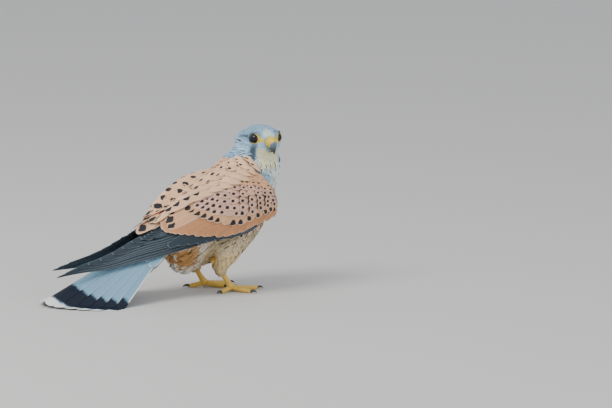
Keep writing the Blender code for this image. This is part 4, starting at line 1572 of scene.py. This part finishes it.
    def flight_plan(self) -> list[tuple[float, float, float, float, str]]:
        """Root across, tip place, tip across, half width and kind of each flight feather, the top one first.

        Returns:
            The rows.
        """
        plan = []
        for k in range(self.tertials):
            plan.append((0.96 - 0.07 * k, 0.668 - 0.048 * k, 0.97 - 0.09 * k, 8.0, "tertial"))
        for k in range(self.secondaries):
            step = k * 4 / self.secondaries
            plan.append((0.73 - 0.07 * step, 0.58 + 0.025 * step, 0.76 - 0.02 * step, 7.0, "secondary"))
        for k, tip in enumerate(self.primary_tips):
            plan.append((0.44 - 0.042 * k, tip, 0.8 - 0.12 * max(k - 6, 0), 6.0, "primary"))
        return plan

    def flight(self, finish: Material) -> Piece:
        """The tertials, secondaries and primaries, each lying under the one before.

        Args:
            finish: Its material.

        Returns:
            The piece.
        """
        plan = self.flight_plan()
        sheaf = Sheaf(f"flight_{self.side.word}", Vane(30, 8), self.stance)
        s, t, deep = sheaf.grid.T
        for number, (root_across, tip, tip_across, half, kind) in enumerate(plan):
            width = outline(t, 0.75, 0.55 if kind == "tertial" else 0.35)
            reach = t - rounding(s, t) * half * 0.7 / ((tip - self.flight_root) * self.curve)
            place = self.flight_root + (tip - self.flight_root) * reach
            span = self.spans(place)
            wide = np.minimum(half, 0.42 * span) / span * width
            across = root_across + (tip_across - root_across) * np.clip(reach, 0, 1) ** 1.5 + s * wide
            ranks, levels = self.stack(plan, place, span, across)
            height = -self.drop * (1 - smooth(0.54, 0.66, place)) - 1.5 * (1 - smooth(0.46, 0.53, place))
            height = height - self.layer * 1.6 * (ranks[number] - levels) - deep * 0.22 + 0.25 * (1 - s * s)
            length = (tip - self.flight_root) * self.curve
            marks = self.flight_marks(kind, number)
            self.lay(sheaf, place, across, height, length, half, marks)
        return sheaf.build(finish)

    def stack(self, plan: list[tuple[float, float, float, float, str]], place: Array, span: Array,
              across: Array) -> tuple[Array, Array]:
        """Ranks of the flight feathers at places, and the rank that shows at each point across.

        Args:
            plan: The flight feathers, from the top one.
            place: Places from wrist to wing tip.
            span: The wing's width at each.
            across: Places from the low to the high edge.

        Returns:
            Ranks by feather and point, and the showing rank at each point.
        """
        edges = []
        ranks = []
        rank = np.zeros_like(place)
        for number, (root_across, tip, tip_across, half, _) in enumerate(plan):
            share = np.clip((place - self.flight_root) / (tip - self.flight_root), 0, 1)
            centre = root_across + (tip_across - root_across) * share**1.5
            edges.append(centre - np.minimum(half, 0.42 * span) / span - 0.0001 * number)
            ranks.append(rank)
            rank = rank + 1 - smooth(tip + 0.003, tip + 0.05, place)
        edges, ranks = np.array(edges), np.array(ranks)
        levels = np.array([np.interp(-v, -edges[:, i], ranks[:, i]) for i, v in enumerate(across)])
        return ranks, levels

    def flight_marks(self, kind: str, number: int) -> Marks:
        """Colours of one flight feather.

        Args:
            kind: tertial, secondary or primary.
            number: Its number from the top.

        Returns:
            Its marks.
        """
        if kind == "tertial":
            marks = Marks.plain(1, blend(self.rufous, self.cream, np.array([0.22])), self.black, self.cream)
            marks.spot[:] = (0.72, 5.4, 8.2)
            marks.edge[:] = (0.45, 1.6, 0.0)
        elif kind == "secondary":
            rufous = number < self.tertials + 1
            ground = blend(self.rufous, self.slate, np.array([0.0 if rufous else 1.0]))
            marks = Marks.plain(1, ground, self.black, self.cream if rufous else self.grey_edge)
            marks.spot[:] = (0.6, 4.0, 6.8) if rufous else (0, 0, 0)
            marks.edge[:] = (0.4, 1.4, 0.0)
        else:
            marks = Marks.plain(1, self.slate, self.black, self.grey_edge)
            marks.edge[:] = (0.32, 1.5, 0.0)
        marks.edge[:, 2] += self.random.normal(0, 0.04)
        return marks

    def coverts(self, finish: Material) -> Piece:
        """All rows of coverts and scapulars as one piece.

        Args:
            finish: Its material.

        Returns:
            The piece.
        """
        sheaf = Sheaf(f"coverts_{self.side.word}", Vane(12, 6), self.stance)
        s, t, deep = sheaf.grid.T
        for row in self.rows:
            log.debug("%s: %d feathers", row.name, row.count)
            line = np.array(row.tips)
            keys = np.linspace(0, 1, len(line))
            for k in range(row.count):
                share = k / (row.count - 1) + self.random.normal(0, 0.006)
                share = min(max(share, 0.0), 1.0)
                tip_place = np.interp(share, keys, line[:, 0])
                tip_across = np.interp(share, keys, line[:, 1]) + self.random.normal(0, 0.004)
                turn = math.radians(np.interp(share, (0, 1), row.turn) + self.random.normal(0, 2.0))
                length = np.interp(share, (0, 1), row.length) * self.random.uniform(0.95, 1.05)
                half = np.interp(share, (0, 1), row.half)
                width = outline(t, 0.45, 0.62)
                back = length * (1 - t) + half * 0.62 * rounding(s, t)
                aside = half * width * s + row.bend * (1 - t) ** 2
                along = -back * math.cos(turn) - aside * math.sin(turn)
                upward = back * math.sin(turn) - aside * math.cos(turn)
                place = tip_place + along / self.chord
                span = self.spans(np.array([tip_place]))[0]
                across = tip_across + upward / span
                height = row.lift + 0.3 * smooth(0.1, 1.0, t) - 2.0 * (1 - smooth(0, 0.4, t))
                height = height + 0.2 * s - 0.22 * s * s - deep * VANE_DEPTH
                if self.side is Side.LEFT:
                    sunk = smooth(0.7, 0.98, across) * smooth(0.36, 0.2, place)
                    height = height - self.shoulder_sink * sunk
                ground = np.array(getattr(self, row.tone))
                spot = np.interp(share, (0, 1), row.spot)
                fringe = self.grey_edge if row.tone == "slate" else self.cream
                marks = Marks.plain(1, ground, self.black, fringe)
                spot *= self.random.uniform(0.8, 1.2) * (self.random.random() > 0.08)
                near = 0.75 if row.tone == "gold" else 1.0
                marks.spot[:] = (spot, 1.9 * half / 3.6 * (0.5 + spot), (2.2 + half / 3.6) * near)
                if spot < 0.02:
                    marks.spot[:] = 0.0
                marks.edge[:] = (row.fringe, 0.9 + length / 140.0, self.random.normal(0, 0.05))
                self.lay(sheaf, place, across, height, length, half, marks)
        return sheaf.build(finish)

    def core(self, finish: Material) -> Piece:
        """The fleshy front of the wing under its feathers.

        Args:
            finish: Its material.

        Returns:
            The piece.
        """
        sheaf = Sheaf(f"wing_core_{self.side.word}", Vane(30, 10), self.stance)
        s, t, deep = sheaf.grid.T
        place = -0.012 + 0.62 * t
        across = 0.46 + 0.42 * s
        thick = np.interp(place, (0.0, 0.1, 0.3, 0.6), (3.0, 7.0, 5.0, 0.6))
        height = -2.3 - 2.2 * smooth(0.3, 0.5, place) - deep * (0.4 + thick * (1 - s**4))
        marks = Marks.plain(1, blend(self.deep, self.slate, np.array([0.5])), self.black, self.deep)
        points = self.point(place, across, height)[None]
        sheaf.add(points, np.array([150.0]), np.array([30.0]), marks, self.patch())
        return sheaf.build(finish)


@dataclass
class TailFan:
    """The fanned tail: its feathers slope down from the middle one, with coverts over the root."""

    stance: Stance
    root: Spot = (-52.0, 0.0, 72.0)
    pitch: float = 24.0
    roof: float = 36.0
    ridge: float = 7.0
    feathers: int = 12
    length: float = 164.0
    grading: float = 26.0
    fan: float = 22.0
    root_half: float = 13.0
    start: float = 6.0
    vane_half: float = 11.5
    layer: float = 0.55
    thick: float = 0.25
    grey: Colour = (0.20, 0.37, 0.50)
    band: Colour = (0.004, 0.010, 0.024)
    white: Colour = (0.80, 0.83, 0.82)
    under: Colour = (0.62, 0.58, 0.50)

    def point(self, back: Array, out: Array, height: Array, floor: Array) -> Array:
        """Points on or over the tail. None goes below floor, where low feathers lie along the ground.

        Args:
            back: Millimetres back from the root.
            out: Millimetres out from the middle.
            height: Millimetres above the surface.
            floor: The lowest height that is allowed.

        Returns:
            The points.
        """
        turn, roof = math.radians(self.pitch), math.radians(self.roof)
        along = np.array([-math.cos(turn), 0, -math.sin(turn)])
        up = np.array([-math.sin(turn), 0, math.cos(turn)])
        bend = np.hypot(out, self.ridge)
        slope = out / bend * roof
        drop = (bend - self.ridge) * math.sin(roof)
        spread = out * (1 - (1 - math.cos(roof)) * np.abs(out) / bend)
        points = np.array(self.root) + along * back[..., None]
        points = points + up * (height * np.cos(slope) - drop)[..., None]
        points[..., 1] += spread + np.sin(slope) * height
        points[..., 2] = np.maximum(points[..., 2], floor)
        return points

    def quills(self, finish: Material) -> Piece:
        """The twelve tail feathers, each lying under its inner neighbour.

        Args:
            finish: Its material.

        Returns:
            The piece.
        """
        sheaf = Sheaf("tail_feathers", Vane(44, 10), self.stance)
        s, t, deep = sheaf.grid.T
        random = np.random.default_rng(5)
        count = self.feathers // 2
        for side in Side:
            for number in range(count):
                share = (number + 0.5) / count
                turn = math.radians(self.fan * share)
                root = self.root_half * share
                length = self.length - self.grading * share**2
                width = np.interp(t, (0, 0.3, 0.86, 0.95, 0.985, 1), (0.5, 0.8, 1.0, 0.94, 0.8, 0.62))
                reach = self.start + (length - self.start) * t - 6.0 * rounding(s, t) * smooth(0.85, 1.0, t)
                spacing = (root + reach * math.sin(turn)) / (number + 0.5)
                half = np.minimum(self.vane_half, spacing * 0.95) if number else spacing * 0.95
                centre = root + reach * math.sin(turn)
                out = np.maximum(centre + half * s * width, 0.2 + 0.05 * s + 0.05 * number)
                level = np.clip(out / spacing - 0.5, 0, count - 1.0)
                height = -self.layer * (number - level) - deep * self.thick + 0.3 * (1 - s * s) * (number > 0)
                floor = self.layer * (count - 1 - number) + self.thick * (1 - deep) + 0.02
                points = self.point(reach * math.cos(turn), out * side.value, height, floor)
                marks = Marks.plain(1, self.grey, self.band, self.white)
                marks.spot[:] = (40.0, 13.5, 24.5)
                marks.edge[:] = (1.0 if number == count - 1 else 0.14, 12.0, random.normal(0, 0.03))
                cell = number + count * (side is Side.LEFT)
                patch = map_cell(cell, 0.30, 1.0, 0.9 / MAP_PITCH, 0.68)
                sheaf.add(points[None], np.array([length]), np.array([self.vane_half]), marks, patch)
        return sheaf.build(finish)

    def coverts(self, finish: Material) -> Piece:
        """Rows of grey coverts above the tail's root and pale ones below it.

        Args:
            finish: Its material.

        Returns:
            The piece.
        """
        sheaf = Sheaf("tail_coverts", Vane(10, 5), self.stance)
        s, t, deep = sheaf.grid.T
        random = np.random.default_rng(9)
        cell = 0
        rows = [(1, 62.0, 9, 30.0, 6.5, 0.9), (1, 46.0, 9, 28.0, 6.2, 1.8), (1, 32.0, 8, 26.0, 6.0, 2.6),
                (1, 18.0, 7, 24.0, 6.0, 3.2), (-1, 70.0, 8, 38.0, 6.5, 1.4), (-1, 52.0, 8, 34.0, 6.5, 2.6),
                (-1, 36.0, 7, 30.0, 6.5, 3.6), (-1, 22.0, 6, 26.0, 6.5, 4.4)]
        for facing, back, count, length, half, lift in rows:
            for k in range(count):
                share = (k - (count - 1) / 2) / ((count - 1) / 2)
                turn = math.radians(self.fan * share * 0.92)
                width = outline(t, 0.5, 0.5)
                reach = back + 0.1 * length * random.normal() - length * (1 - t) - half * 0.6 * rounding(s, t)
                out = (self.root_half * share + reach * math.sin(turn)) + half * width * s
                height = facing * (lift * (0.35 + 0.65 * smooth(0, 0.6, t)) - 0.5 * s * s + 0.25 * abs(share))
                height = height - deep * 0.2 * facing - 0.6 * (facing < 0)
                points = self.point(reach * math.cos(turn), out, height, np.full(len(t), -100.0))
                ground = self.grey if facing > 0 else self.under
                marks = Marks.plain(1, ground, self.band, self.white)
                marks.edge[:] = (0.5, 1.5, random.normal(0, 0.05))
                patch = map_cell(cell, MAP_EDGE, 30.0, 0.06, 0.028)
                cell += 1
                sheaf.add(points[None], np.array([length]), np.array([half]), marks, patch)
        return sheaf.build(finish)


@dataclass
class Face:
    """The bare parts of the head: eyes, rings round them, cere, upper and lower bill."""

    stance: Stance
    eye_radius: float = 5.6
    lid_radius: float = 4.85
    lid_thick: float = 0.62
    upper: tuple[Row, ...] = (
        (15.3, -1.6, 5.7, 5.8, 0),
        (18.2, -1.8, 5.4, 5.2, 8),
        (20.8, -2.8, 4.8, 4.4, 22),
        (22.9, -4.8, 3.9, 3.4, 42),
        (24.2, -7.6, 2.7, 2.3, 66),
        (24.3, -10.6, 1.5, 1.3, 88),
        (23.6, -13.2, 0.5, 0.45, 102),
    )
    cere_end: float = 2.75
    lower: tuple[Row, ...] = (
        (15.3, -9.6, 1.9, 4.6, 0),
        (18.0, -9.9, 1.7, 3.7, 0),
        (20.0, -9.9, 1.3, 2.4, -8),
        (21.1, -9.7, 0.6, 1.0, -14),
    )
    nostril: Spot = (17.2, 5.1, 0.2)

    def aim(self, axis: Vector) -> Matrix:
        """The turn from straight up to an eye's axis."""
        return Vector((0, 0, 1)).rotation_difference(axis).to_matrix().to_4x4()

    def eye(self, side: Side, finish: Material) -> Piece:
        """A fine ball with its pole on the eye's axis and a slightly raised cornea.

        Args:
            side: The side of the bird.
            finish: Its material.

        Returns:
            The piece.
        """
        centre, axis = self.stance.eye(side)
        bm = bmesh.new()
        bmesh.ops.create_uvsphere(bm, u_segments=48, v_segments=32, radius=self.eye_radius)
        layer = bm.verts.layers.float.new("depth")
        for vert in bm.verts:
            angle = vert.co.normalized().angle(Vector((0, 0, 1)))
            vert[layer] = angle / math.pi
            vert.co *= 1 + 0.035 * float(smooth(0.9, 0.2, angle))
        turn = self.aim(axis)
        bmesh.ops.transform(bm, matrix=Matrix.Translation(centre) @ turn, verts=bm.verts[:])
        return solid_object(f"eyeball_{side.word}", bm, self.stance, finish, head=True)

    def lid(self, side: Side, finish: Material) -> Piece:
        """The bare ring round an eye, wider in front and below, with fine folds across it.

        Args:
            side: The side of the bird.
            finish: Its material.

        Returns:
            The piece.
        """
        centre, axis = self.stance.eye(side)
        bm = bmesh.new()
        profile = bmesh.ops.create_circle(bm, radius=self.lid_thick, segments=12)["verts"]
        bmesh.ops.rotate(bm, verts=profile, matrix=Matrix.Rotation(math.pi / 2, 3, "X"))
        bmesh.ops.translate(bm, verts=profile, vec=(self.lid_radius, 0, 0))
        geom = bm.verts[:] + bm.edges[:]
        bmesh.ops.spin(bm, geom=geom, axis=(0, 0, 1), angle=math.tau, steps=72, use_merge=True)
        bmesh.ops.remove_doubles(bm, verts=bm.verts[:], dist=1e-4)
        turn = self.aim(axis)
        to_front = (turn.inverted() @ Vector((1, 0, -0.35, 0))).to_3d()
        to_front.z = 0
        to_front.normalize()
        dim = bm.verts.layers.float.new("dim")
        for vert in bm.verts:
            out = Vector((vert.co.x, vert.co.y, 0))
            bearing = out.normalized().dot(to_front)
            # Painted shade on the ring's top and back, away from its front and underside.
            vert[dim] = float(smooth(0.15, -0.35, bearing))
            rim = out.length - self.lid_radius
            fold = 0.05 * math.sin(math.atan2(vert.co.y, vert.co.x) * 36)
            widen = 1.0 + 1.5 * float(smooth(0.2, 1.0, bearing))
            if rim > 0:
                vert.co += out.normalized() * rim * (widen - 1)
                vert.co.z -= rim * (widen - 1) * 0.55
            vert.co.z += fold
        lift = math.sqrt(self.eye_radius**2 - self.lid_radius**2) + 0.25
        spot = centre + axis * lift
        bmesh.ops.transform(bm, matrix=Matrix.Translation(spot) @ turn, verts=bm.verts[:])
        return solid_object(f"eye_ring_{side.word}", bm, self.stance, finish, head=True)

    def ring(self, row: Sequence[float], count: int, keel: float = 0.0) -> list[Vector]:
        """One ring of the bill, with its top drawn to a keel.

        Args:
            row: Place, height, half height, half width and slope.
            count: How many points.
            keel: How much narrower its top is.

        Returns:
            The ring's points.
        """
        x, height, half_high, half_wide, slope = row
        tilt = math.radians(slope)
        up = Vector((math.sin(tilt), 0, math.cos(tilt)))
        points = ellipse(Vector((x, 0, height)), Vector((0, 1, 0)), up, half_wide, half_high, count)
        for k, point in enumerate(points):
            top = max(math.cos(math.tau * k / count), 0.0)
            point.y *= 1 - keel * top**2
        return points

    def upper_bill(self, start: float, end: float, name: str, finish: Material,
                   rings: int) -> Piece:
        """A stretch of the upper bill between two places of its table.

        Args:
            start: The first place.
            end: The last place.
            name: Its name.
            finish: Its material.
            rings: How many rings.

        Returns:
            The piece.
        """
        table = [(i, *row) for i, row in enumerate(self.upper)]
        places = np.linspace(start, end, rings)
        last = len(self.upper) - 1
        loops = [self.ring(eased(table, place), 40, 0.25) for place in places]
        bm = hull_of_rings(loops, [place / last for place in places])
        return solid_object(name, bm, self.stance, finish, head=True)

    def cere(self, finish: Material) -> Piece:
        """The bare swelling over the bill's root, with round nostrils.

        Args:
            finish: Its material.

        Returns:
            The piece.
        """
        made = self.upper_bill(0.0, self.cere_end, "cere_skin", finish, 22)
        bm = bmesh.new()
        bm.from_mesh(made.data)
        for side in Side:
            spot = Vector((self.nostril[0], side.value * self.nostril[1], self.nostril[2]))
            centre = self.stance.shift + self.stance.head_matrix() @ spot * MM
            for vert in bm.verts:
                gap = (vert.co - centre).length / MM
                if gap < 2.2:
                    rim = 0.22 * math.exp(-((gap - 1.35) / 0.4) ** 2)
                    pit = 1.1 * math.exp(-((gap / 0.85) ** 2))
                    vert.co += vert.normal * ((rim - pit) * MM)
        bm.to_mesh(made.data)
        bm.free()
        return made

    def lower_bill(self, finish: Material) -> Piece:
        """The lower bill, tucked behind the hook.

        Args:
            finish: Its material.

        Returns:
            The piece.
        """
        table = [(i, *row) for i, row in enumerate(self.lower)]
        places = np.linspace(0, len(self.lower) - 1, 18)
        loops = [self.ring(eased(table, place), 32) for place in places]
        bm = hull_of_rings(loops, [0.25 + 0.2 * place for place in places])
        return solid_object("bill_lower_horn", bm, self.stance, finish, head=True)


@dataclass
class Legs:
    """Bare shanks, feet and claws."""

    stance: Stance
    feet: dict[Side, tuple[float, float]] = field(
        default_factory=lambda: {Side.RIGHT: (2.0, 19.0), Side.LEFT: (-6.0, 19.0)}
    )
    ankle_back: float = 20.0
    ankle_height: float = 35.0
    foot_height: float = 5.2
    shank_radius: float = 2.6
    toes: tuple[tuple[str, float, float], ...] = (
        ("middle", 3.0, 29.0), ("inner", -46.0, 20.0), ("outer", 55.0, 21.0), ("hind", 160.0, 14.0),
    )
    toe_radius: float = 2.5
    toe_places: tuple[float, ...] = (0, 0.28, 0.55, 0.8, 1)
    toe_heights: tuple[float, ...] = (4.6, 3.4, 2.5, 2.0, 1.7)
    toe_swell: tuple[float, ...] = (1.0, 0.92, 0.95, 0.86, 0.76)
    claw_length: float = 9.0
    claw_radius: float = 1.5

    def hub(self, side: Side) -> Vector:
        """Where a foot's toes meet."""
        x, out = self.feet[side]
        return Vector((x, side.value * out, self.foot_height))

    def tube(self, points: Sequence[Vector], radii: Sequence[float], count: int,
             depths: Sequence[float] | None = None, flat: float = 0.0) -> Shape:
        """A bar through points with its rings square to its run, not going below flat.

        Args:
            points: Its middle line.
            radii: Its radius at each.
            count: How many points a ring has.
            depths: A value for each ring.
            flat: The lowest height that is allowed.

        Returns:
            The bar.
        """
        rings = []
        for i, point in enumerate(points):
            along = (points[min(i + 1, len(points) - 1)] - points[max(i - 1, 0)]).normalized()
            side = along.cross(Vector((0, 0, 1)))
            if side.length < 0.2:
                side = along.cross(Vector((1, 0, 0)))
            side.normalize()
            up = side.cross(along).normalized()
            loop = ellipse(point, side, up, radii[i], radii[i], count)
            for vert in loop:
                vert.z = max(vert.z, flat)
            rings.append(loop)
        return hull_of_rings(rings, depths)

    def shank(self, side: Side, finish: Material) -> Piece:
        """The bare shank, with a row of broad scutes down its front.

        Args:
            side: The side of the bird.
            finish: Its material.

        Returns:
            The piece.
        """
        hub = self.hub(side)
        ankle = Vector((hub.x - self.ankle_back, hub.y, self.ankle_height))
        lean = (ankle - hub).normalized()
        whole = (ankle - hub).length
        points, radii = [], []
        for k in range(61):
            reach = 2.0 + (whole - 2.0) * k / 60
            swell = float(np.interp(reach, (2, 5, 9, 16, whole), (1.25, 1.1, 0.95, 1.0, 1.3)))
            scute = 0.10 * abs(math.sin(reach * math.pi / 2.3)) ** 0.5
            points.append(hub + lean * reach)
            radii.append(self.shank_radius * swell + scute)
        return solid_object(f"shank_skin_{side.word}", self.tube(points, radii, 28), self.stance, finish)

    def foot(self, side: Side, finish: Material, horn: Material) -> list[Piece]:
        """One foot with four scaled toes that rest on their pads, and four claws.

        Args:
            side: The side of the bird.
            finish: Its material.
            horn: The claws' material.

        Returns:
            The pieces.
        """
        hub = self.hub(side)
        bm = bmesh.new()
        bmesh.ops.create_uvsphere(bm, u_segments=32, v_segments=20, radius=4.0)
        bmesh.ops.translate(bm, verts=bm.verts[:], vec=hub)
        for vert in bm.verts:
            vert.co.z = max(vert.co.z, 0.6)
        made = [solid_object(f"foot_skin_{side.word}", bm, self.stance, finish)]
        for name, heading, length in self.toes:
            turn = math.radians(heading) * side.value
            along = Vector((math.cos(turn), math.sin(turn), 0))
            start = hub + along
            ground = Vector((start.x, start.y, 0))
            points, radii = [], []
            for k in range(57):
                share = k / 56
                high = float(np.interp(share, self.toe_places, self.toe_heights))
                size = float(np.interp(share, self.toe_places, self.toe_swell))
                scute = 0.10 * abs(math.sin(share * length * math.pi / 1.7)) ** 0.5
                pad = 0.22 * math.sin(share * length * math.pi / 6.0) ** 2
                points.append(ground + along * (length * share) + Vector((0, 0, high)))
                radii.append(self.toe_radius * size - 0.12 + scute + pad * 0.6)
            bm = self.tube(points, radii, 24)
            made.append(solid_object(f"toe_{side.word}_{name}", bm, self.stance, finish))
            tip = points[-1] - along * 0.5
            claw, sizes, depths = [], [], []
            for k in range(25):
                t = k / 24
                lift = 1.1 * math.sin(t * math.pi) + (0.35 - points[-1].z) * t * t
                reach = self.claw_length * 0.82 * math.sin(t * 1.35)
                claw.append(tip + along * reach + Vector((0, 0, lift)))
                sizes.append(self.claw_radius * (1 - t) ** 0.8 + 0.1)
                depths.append(0.35 + 0.65 * t)
            bm = self.tube(claw, sizes, 20, depths)
            made.append(solid_object(f"claw_horn_{side.word}_{name}", bm, self.stance, horn))
        return made


@dataclass
class Studio:
    """The plain floor, the soft lights and the camera."""

    stance: Stance
    azimuth: float = -32.0
    elevation: float = 9.0
    distance: float = 6.0
    scale: float = 0.001
    feet_pixel: tuple[float, float] = (219.0, 289.0)
    frame_size: tuple[int, int] = (612, 408)
    sensor: float = 36.0
    floor_radius: float = 14.0
    aim: Spot = (0.0, 0.0, 0.09)
    sky: Colour = (0.93, 0.96, 1.0)
    sky_power: float = 0.8
    warm: Colour = (1.0, 0.97, 0.92)
    cool: Colour = (0.92, 0.96, 1.0)

    def axes(self) -> tuple[Vector, Vector, Vector]:
        """The camera's forward, right and up.

        Returns:
            The three directions.
        """
        a, e = math.radians(self.azimuth), math.radians(self.elevation)
        forward = Vector((-math.sin(a) * math.cos(e), math.cos(a) * math.cos(e), -math.sin(e)))
        right = Vector((math.cos(a), math.sin(a), 0))
        return forward, right, right.cross(forward)

    def camera(self) -> None:
        """Stands the camera so that the bird fills the picture as it should."""
        forward, right, up = self.axes()
        width, height = self.frame_size
        aside = (width / 2 - self.feet_pixel[0]) * self.scale
        above = (self.feet_pixel[1] - height / 2) * self.scale
        centre = self.stance.shift + right * aside + up * above
        data = bpy.data.cameras.new("camera")
        data.sensor_width = self.sensor
        data.lens = self.sensor * self.distance / (width * self.scale)
        data.clip_end = 60.0
        camera = bpy.data.objects.new("camera", data)
        camera.location = centre - forward * self.distance
        camera.rotation_mode = "QUATERNION"
        camera.rotation_quaternion = forward.to_track_quat("-Z", "Y")
        bpy.context.scene.collection.objects.link(camera)
        bpy.context.scene.camera = camera

    def floor(self, finish: Material) -> Piece:
        """A wide round floor.

        Args:
            finish: Its material.

        Returns:
            The floor.
        """
        bm = bmesh.new()
        bmesh.ops.create_circle(bm, cap_ends=True, segments=96, radius=self.floor_radius)
        mesh = bpy.data.meshes.new("studio_floor")
        bm.to_mesh(mesh)
        bm.free()
        return placed("studio_floor", mesh, finish, rounded=False)

    def lamp(self, name: str, place: Vector, power: float, size: float, colour: Colour) -> None:
        """A square soft light aimed at the bird.

        Args:
            name: Its name.
            place: Where it hangs, in metres.
            power: Watts.
            size: Its width in metres.
            colour: Its colour.
        """
        data = bpy.data.lights.new(name, "AREA")
        data.energy = power
        data.size = size
        data.color = colour
        lamp = bpy.data.objects.new(name, data)
        target = self.stance.shift + Vector(self.aim)
        lamp.location = place
        lamp.rotation_mode = "QUATERNION"
        lamp.rotation_quaternion = (target - place).to_track_quat("-Z", "Y")
        bpy.context.scene.collection.objects.link(lamp)

    def lights(self) -> None:
        """A bright sky all round, a broad key from above the bird's back and a fill."""
        forward, right, _ = self.axes()
        flat = Vector((forward.x, forward.y, 0)).normalized()
        world = bpy.data.worlds.new("studio")
        world.use_nodes = True
        sky = world.node_tree.nodes["Background"]
        sky.inputs["Color"].default_value = (*self.sky, 1.0)
        sky.inputs["Strength"].default_value = self.sky_power
        bpy.context.scene.world = world
        above = Vector((0, 0, 1))
        self.lamp("key", above * 1.6 - right * 0.9 - flat * 0.7, 26.0, 0.9, self.warm)
        self.lamp("fill", above * 0.5 + right * 1.3 - flat * 1.1, 7.0, 1.1, self.cool)


def ride(made: Piece, slot: str, *nodes: str) -> Piece:
    """Puts a piece on the bird's one body and hides the nodes that it stands for.

    Args:
        made: The piece.
        slot: Its material slot; not used.
        *nodes: The CAD nodes that it replaces.

    Returns:
        The piece.
    """
    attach(made, next(iter(frame["bodies"])))
    if nodes:
        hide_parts(*nodes)
    return made


def report(made: Piece) -> None:
    """Logs a piece's size."""
    log.info("%s: %d triangles", made.name, sum(len(face.vertices) - 2 for face in made.data.polygons))


def main() -> None:
    """Builds the bird from the skin out, then the studio, and reports each piece."""
    logging.basicConfig(level=logging.INFO, format="%(message)s")
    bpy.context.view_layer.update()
    stance = Stance()
    plumage = Plumage(stance)
    skin = Skin(stance, plumage)
    surface = skin.build(SkinFinish().material())
    ride(surface, "breast", *skin.nodes)
    soft = FeatherFinish("contour_feathers").material()
    pieces = [surface]
    coat = BodyCoat(stance, skin, plumage)
    for made in coat.build(surface, soft):
        pieces.append(ride(made, "head_grey" if made.name in ("coat_face", "coat_crown") else "breast"))
    wing_look = FeatherFinish(
        "wing_feathers", roughness=0.55, sheen=0.02, barbs=18.0, barb_tone=0.04, bump=0.26, bleed=0.12
    )
    wing_vanes = wing_look.material()
    for side in Side:
        wing = FoldedWing(stance, side, skin)
        pieces.append(ride(wing.core(wing_vanes), "wing_rufous"))
        pieces.append(ride(wing.coverts(wing_vanes), "wing_rufous", f"wing_{side.word}"))
        pieces.append(ride(wing.flight(wing_vanes), "wing_rufous"))
    tail = TailFan(stance)
    pieces.append(ride(tail.quills(wing_vanes), "tail_grey", "tail"))
    pieces.append(ride(tail.coverts(soft), "tail_grey"))
    face = Face(stance)
    wet = EyeFinish().material()
    wax = WaxFinish("bare_yellow_skin", (0.86, 0.60, 0.05), (0.62, 0.36, 0.03)).material()
    horn = HornFinish("bill_horn").material()
    for side in Side:
        pieces.append(ride(face.eye(side, wet), "eye", f"eye_{side.word}"))
        pieces.append(ride(face.lid(side, wax), "cere_yellow"))
    pieces.append(ride(face.cere(wax), "cere_yellow", "cere"))
    bill_end = float(len(face.upper) - 1)
    upper = face.upper_bill(face.cere_end - 0.05, bill_end, "bill_upper_horn", horn, 48)
    pieces.append(ride(upper, "horn", "bill_upper"))
    pieces.append(ride(face.lower_bill(horn), "horn", "bill_lower"))
    legs = Legs(stance)
    scaled = WaxFinish("scaled_leg", (0.80, 0.52, 0.09), (0.52, 0.30, 0.05), grain=900.0, depth=0.0002,
                       roughness=0.5).material()
    claw = HornFinish("claw_horn", (0.10, 0.10, 0.11), (0.01, 0.01, 0.012), 0.4, roughness=0.28).material()
    for side in Side:
        pieces.append(ride(legs.shank(side, scaled), "leg_yellow", f"shank_{side.word}"))
        for made in legs.foot(side, scaled, claw):
            if made.name.startswith("claw"):
                pieces.append(ride(made, "horn", made.name.replace("claw_horn", "claw")))
            elif made.name.startswith("foot"):
                pieces.append(ride(made, "leg_yellow", f"foot_{side.word}"))
            else:
                pieces.append(ride(made, "leg_yellow"))
    for made in pieces:
        report(made)
    studio = Studio(stance)
    studio.floor(FloorFinish().material())
    studio.lights()
    studio.camera()


if __name__ == "__main__":
    main()
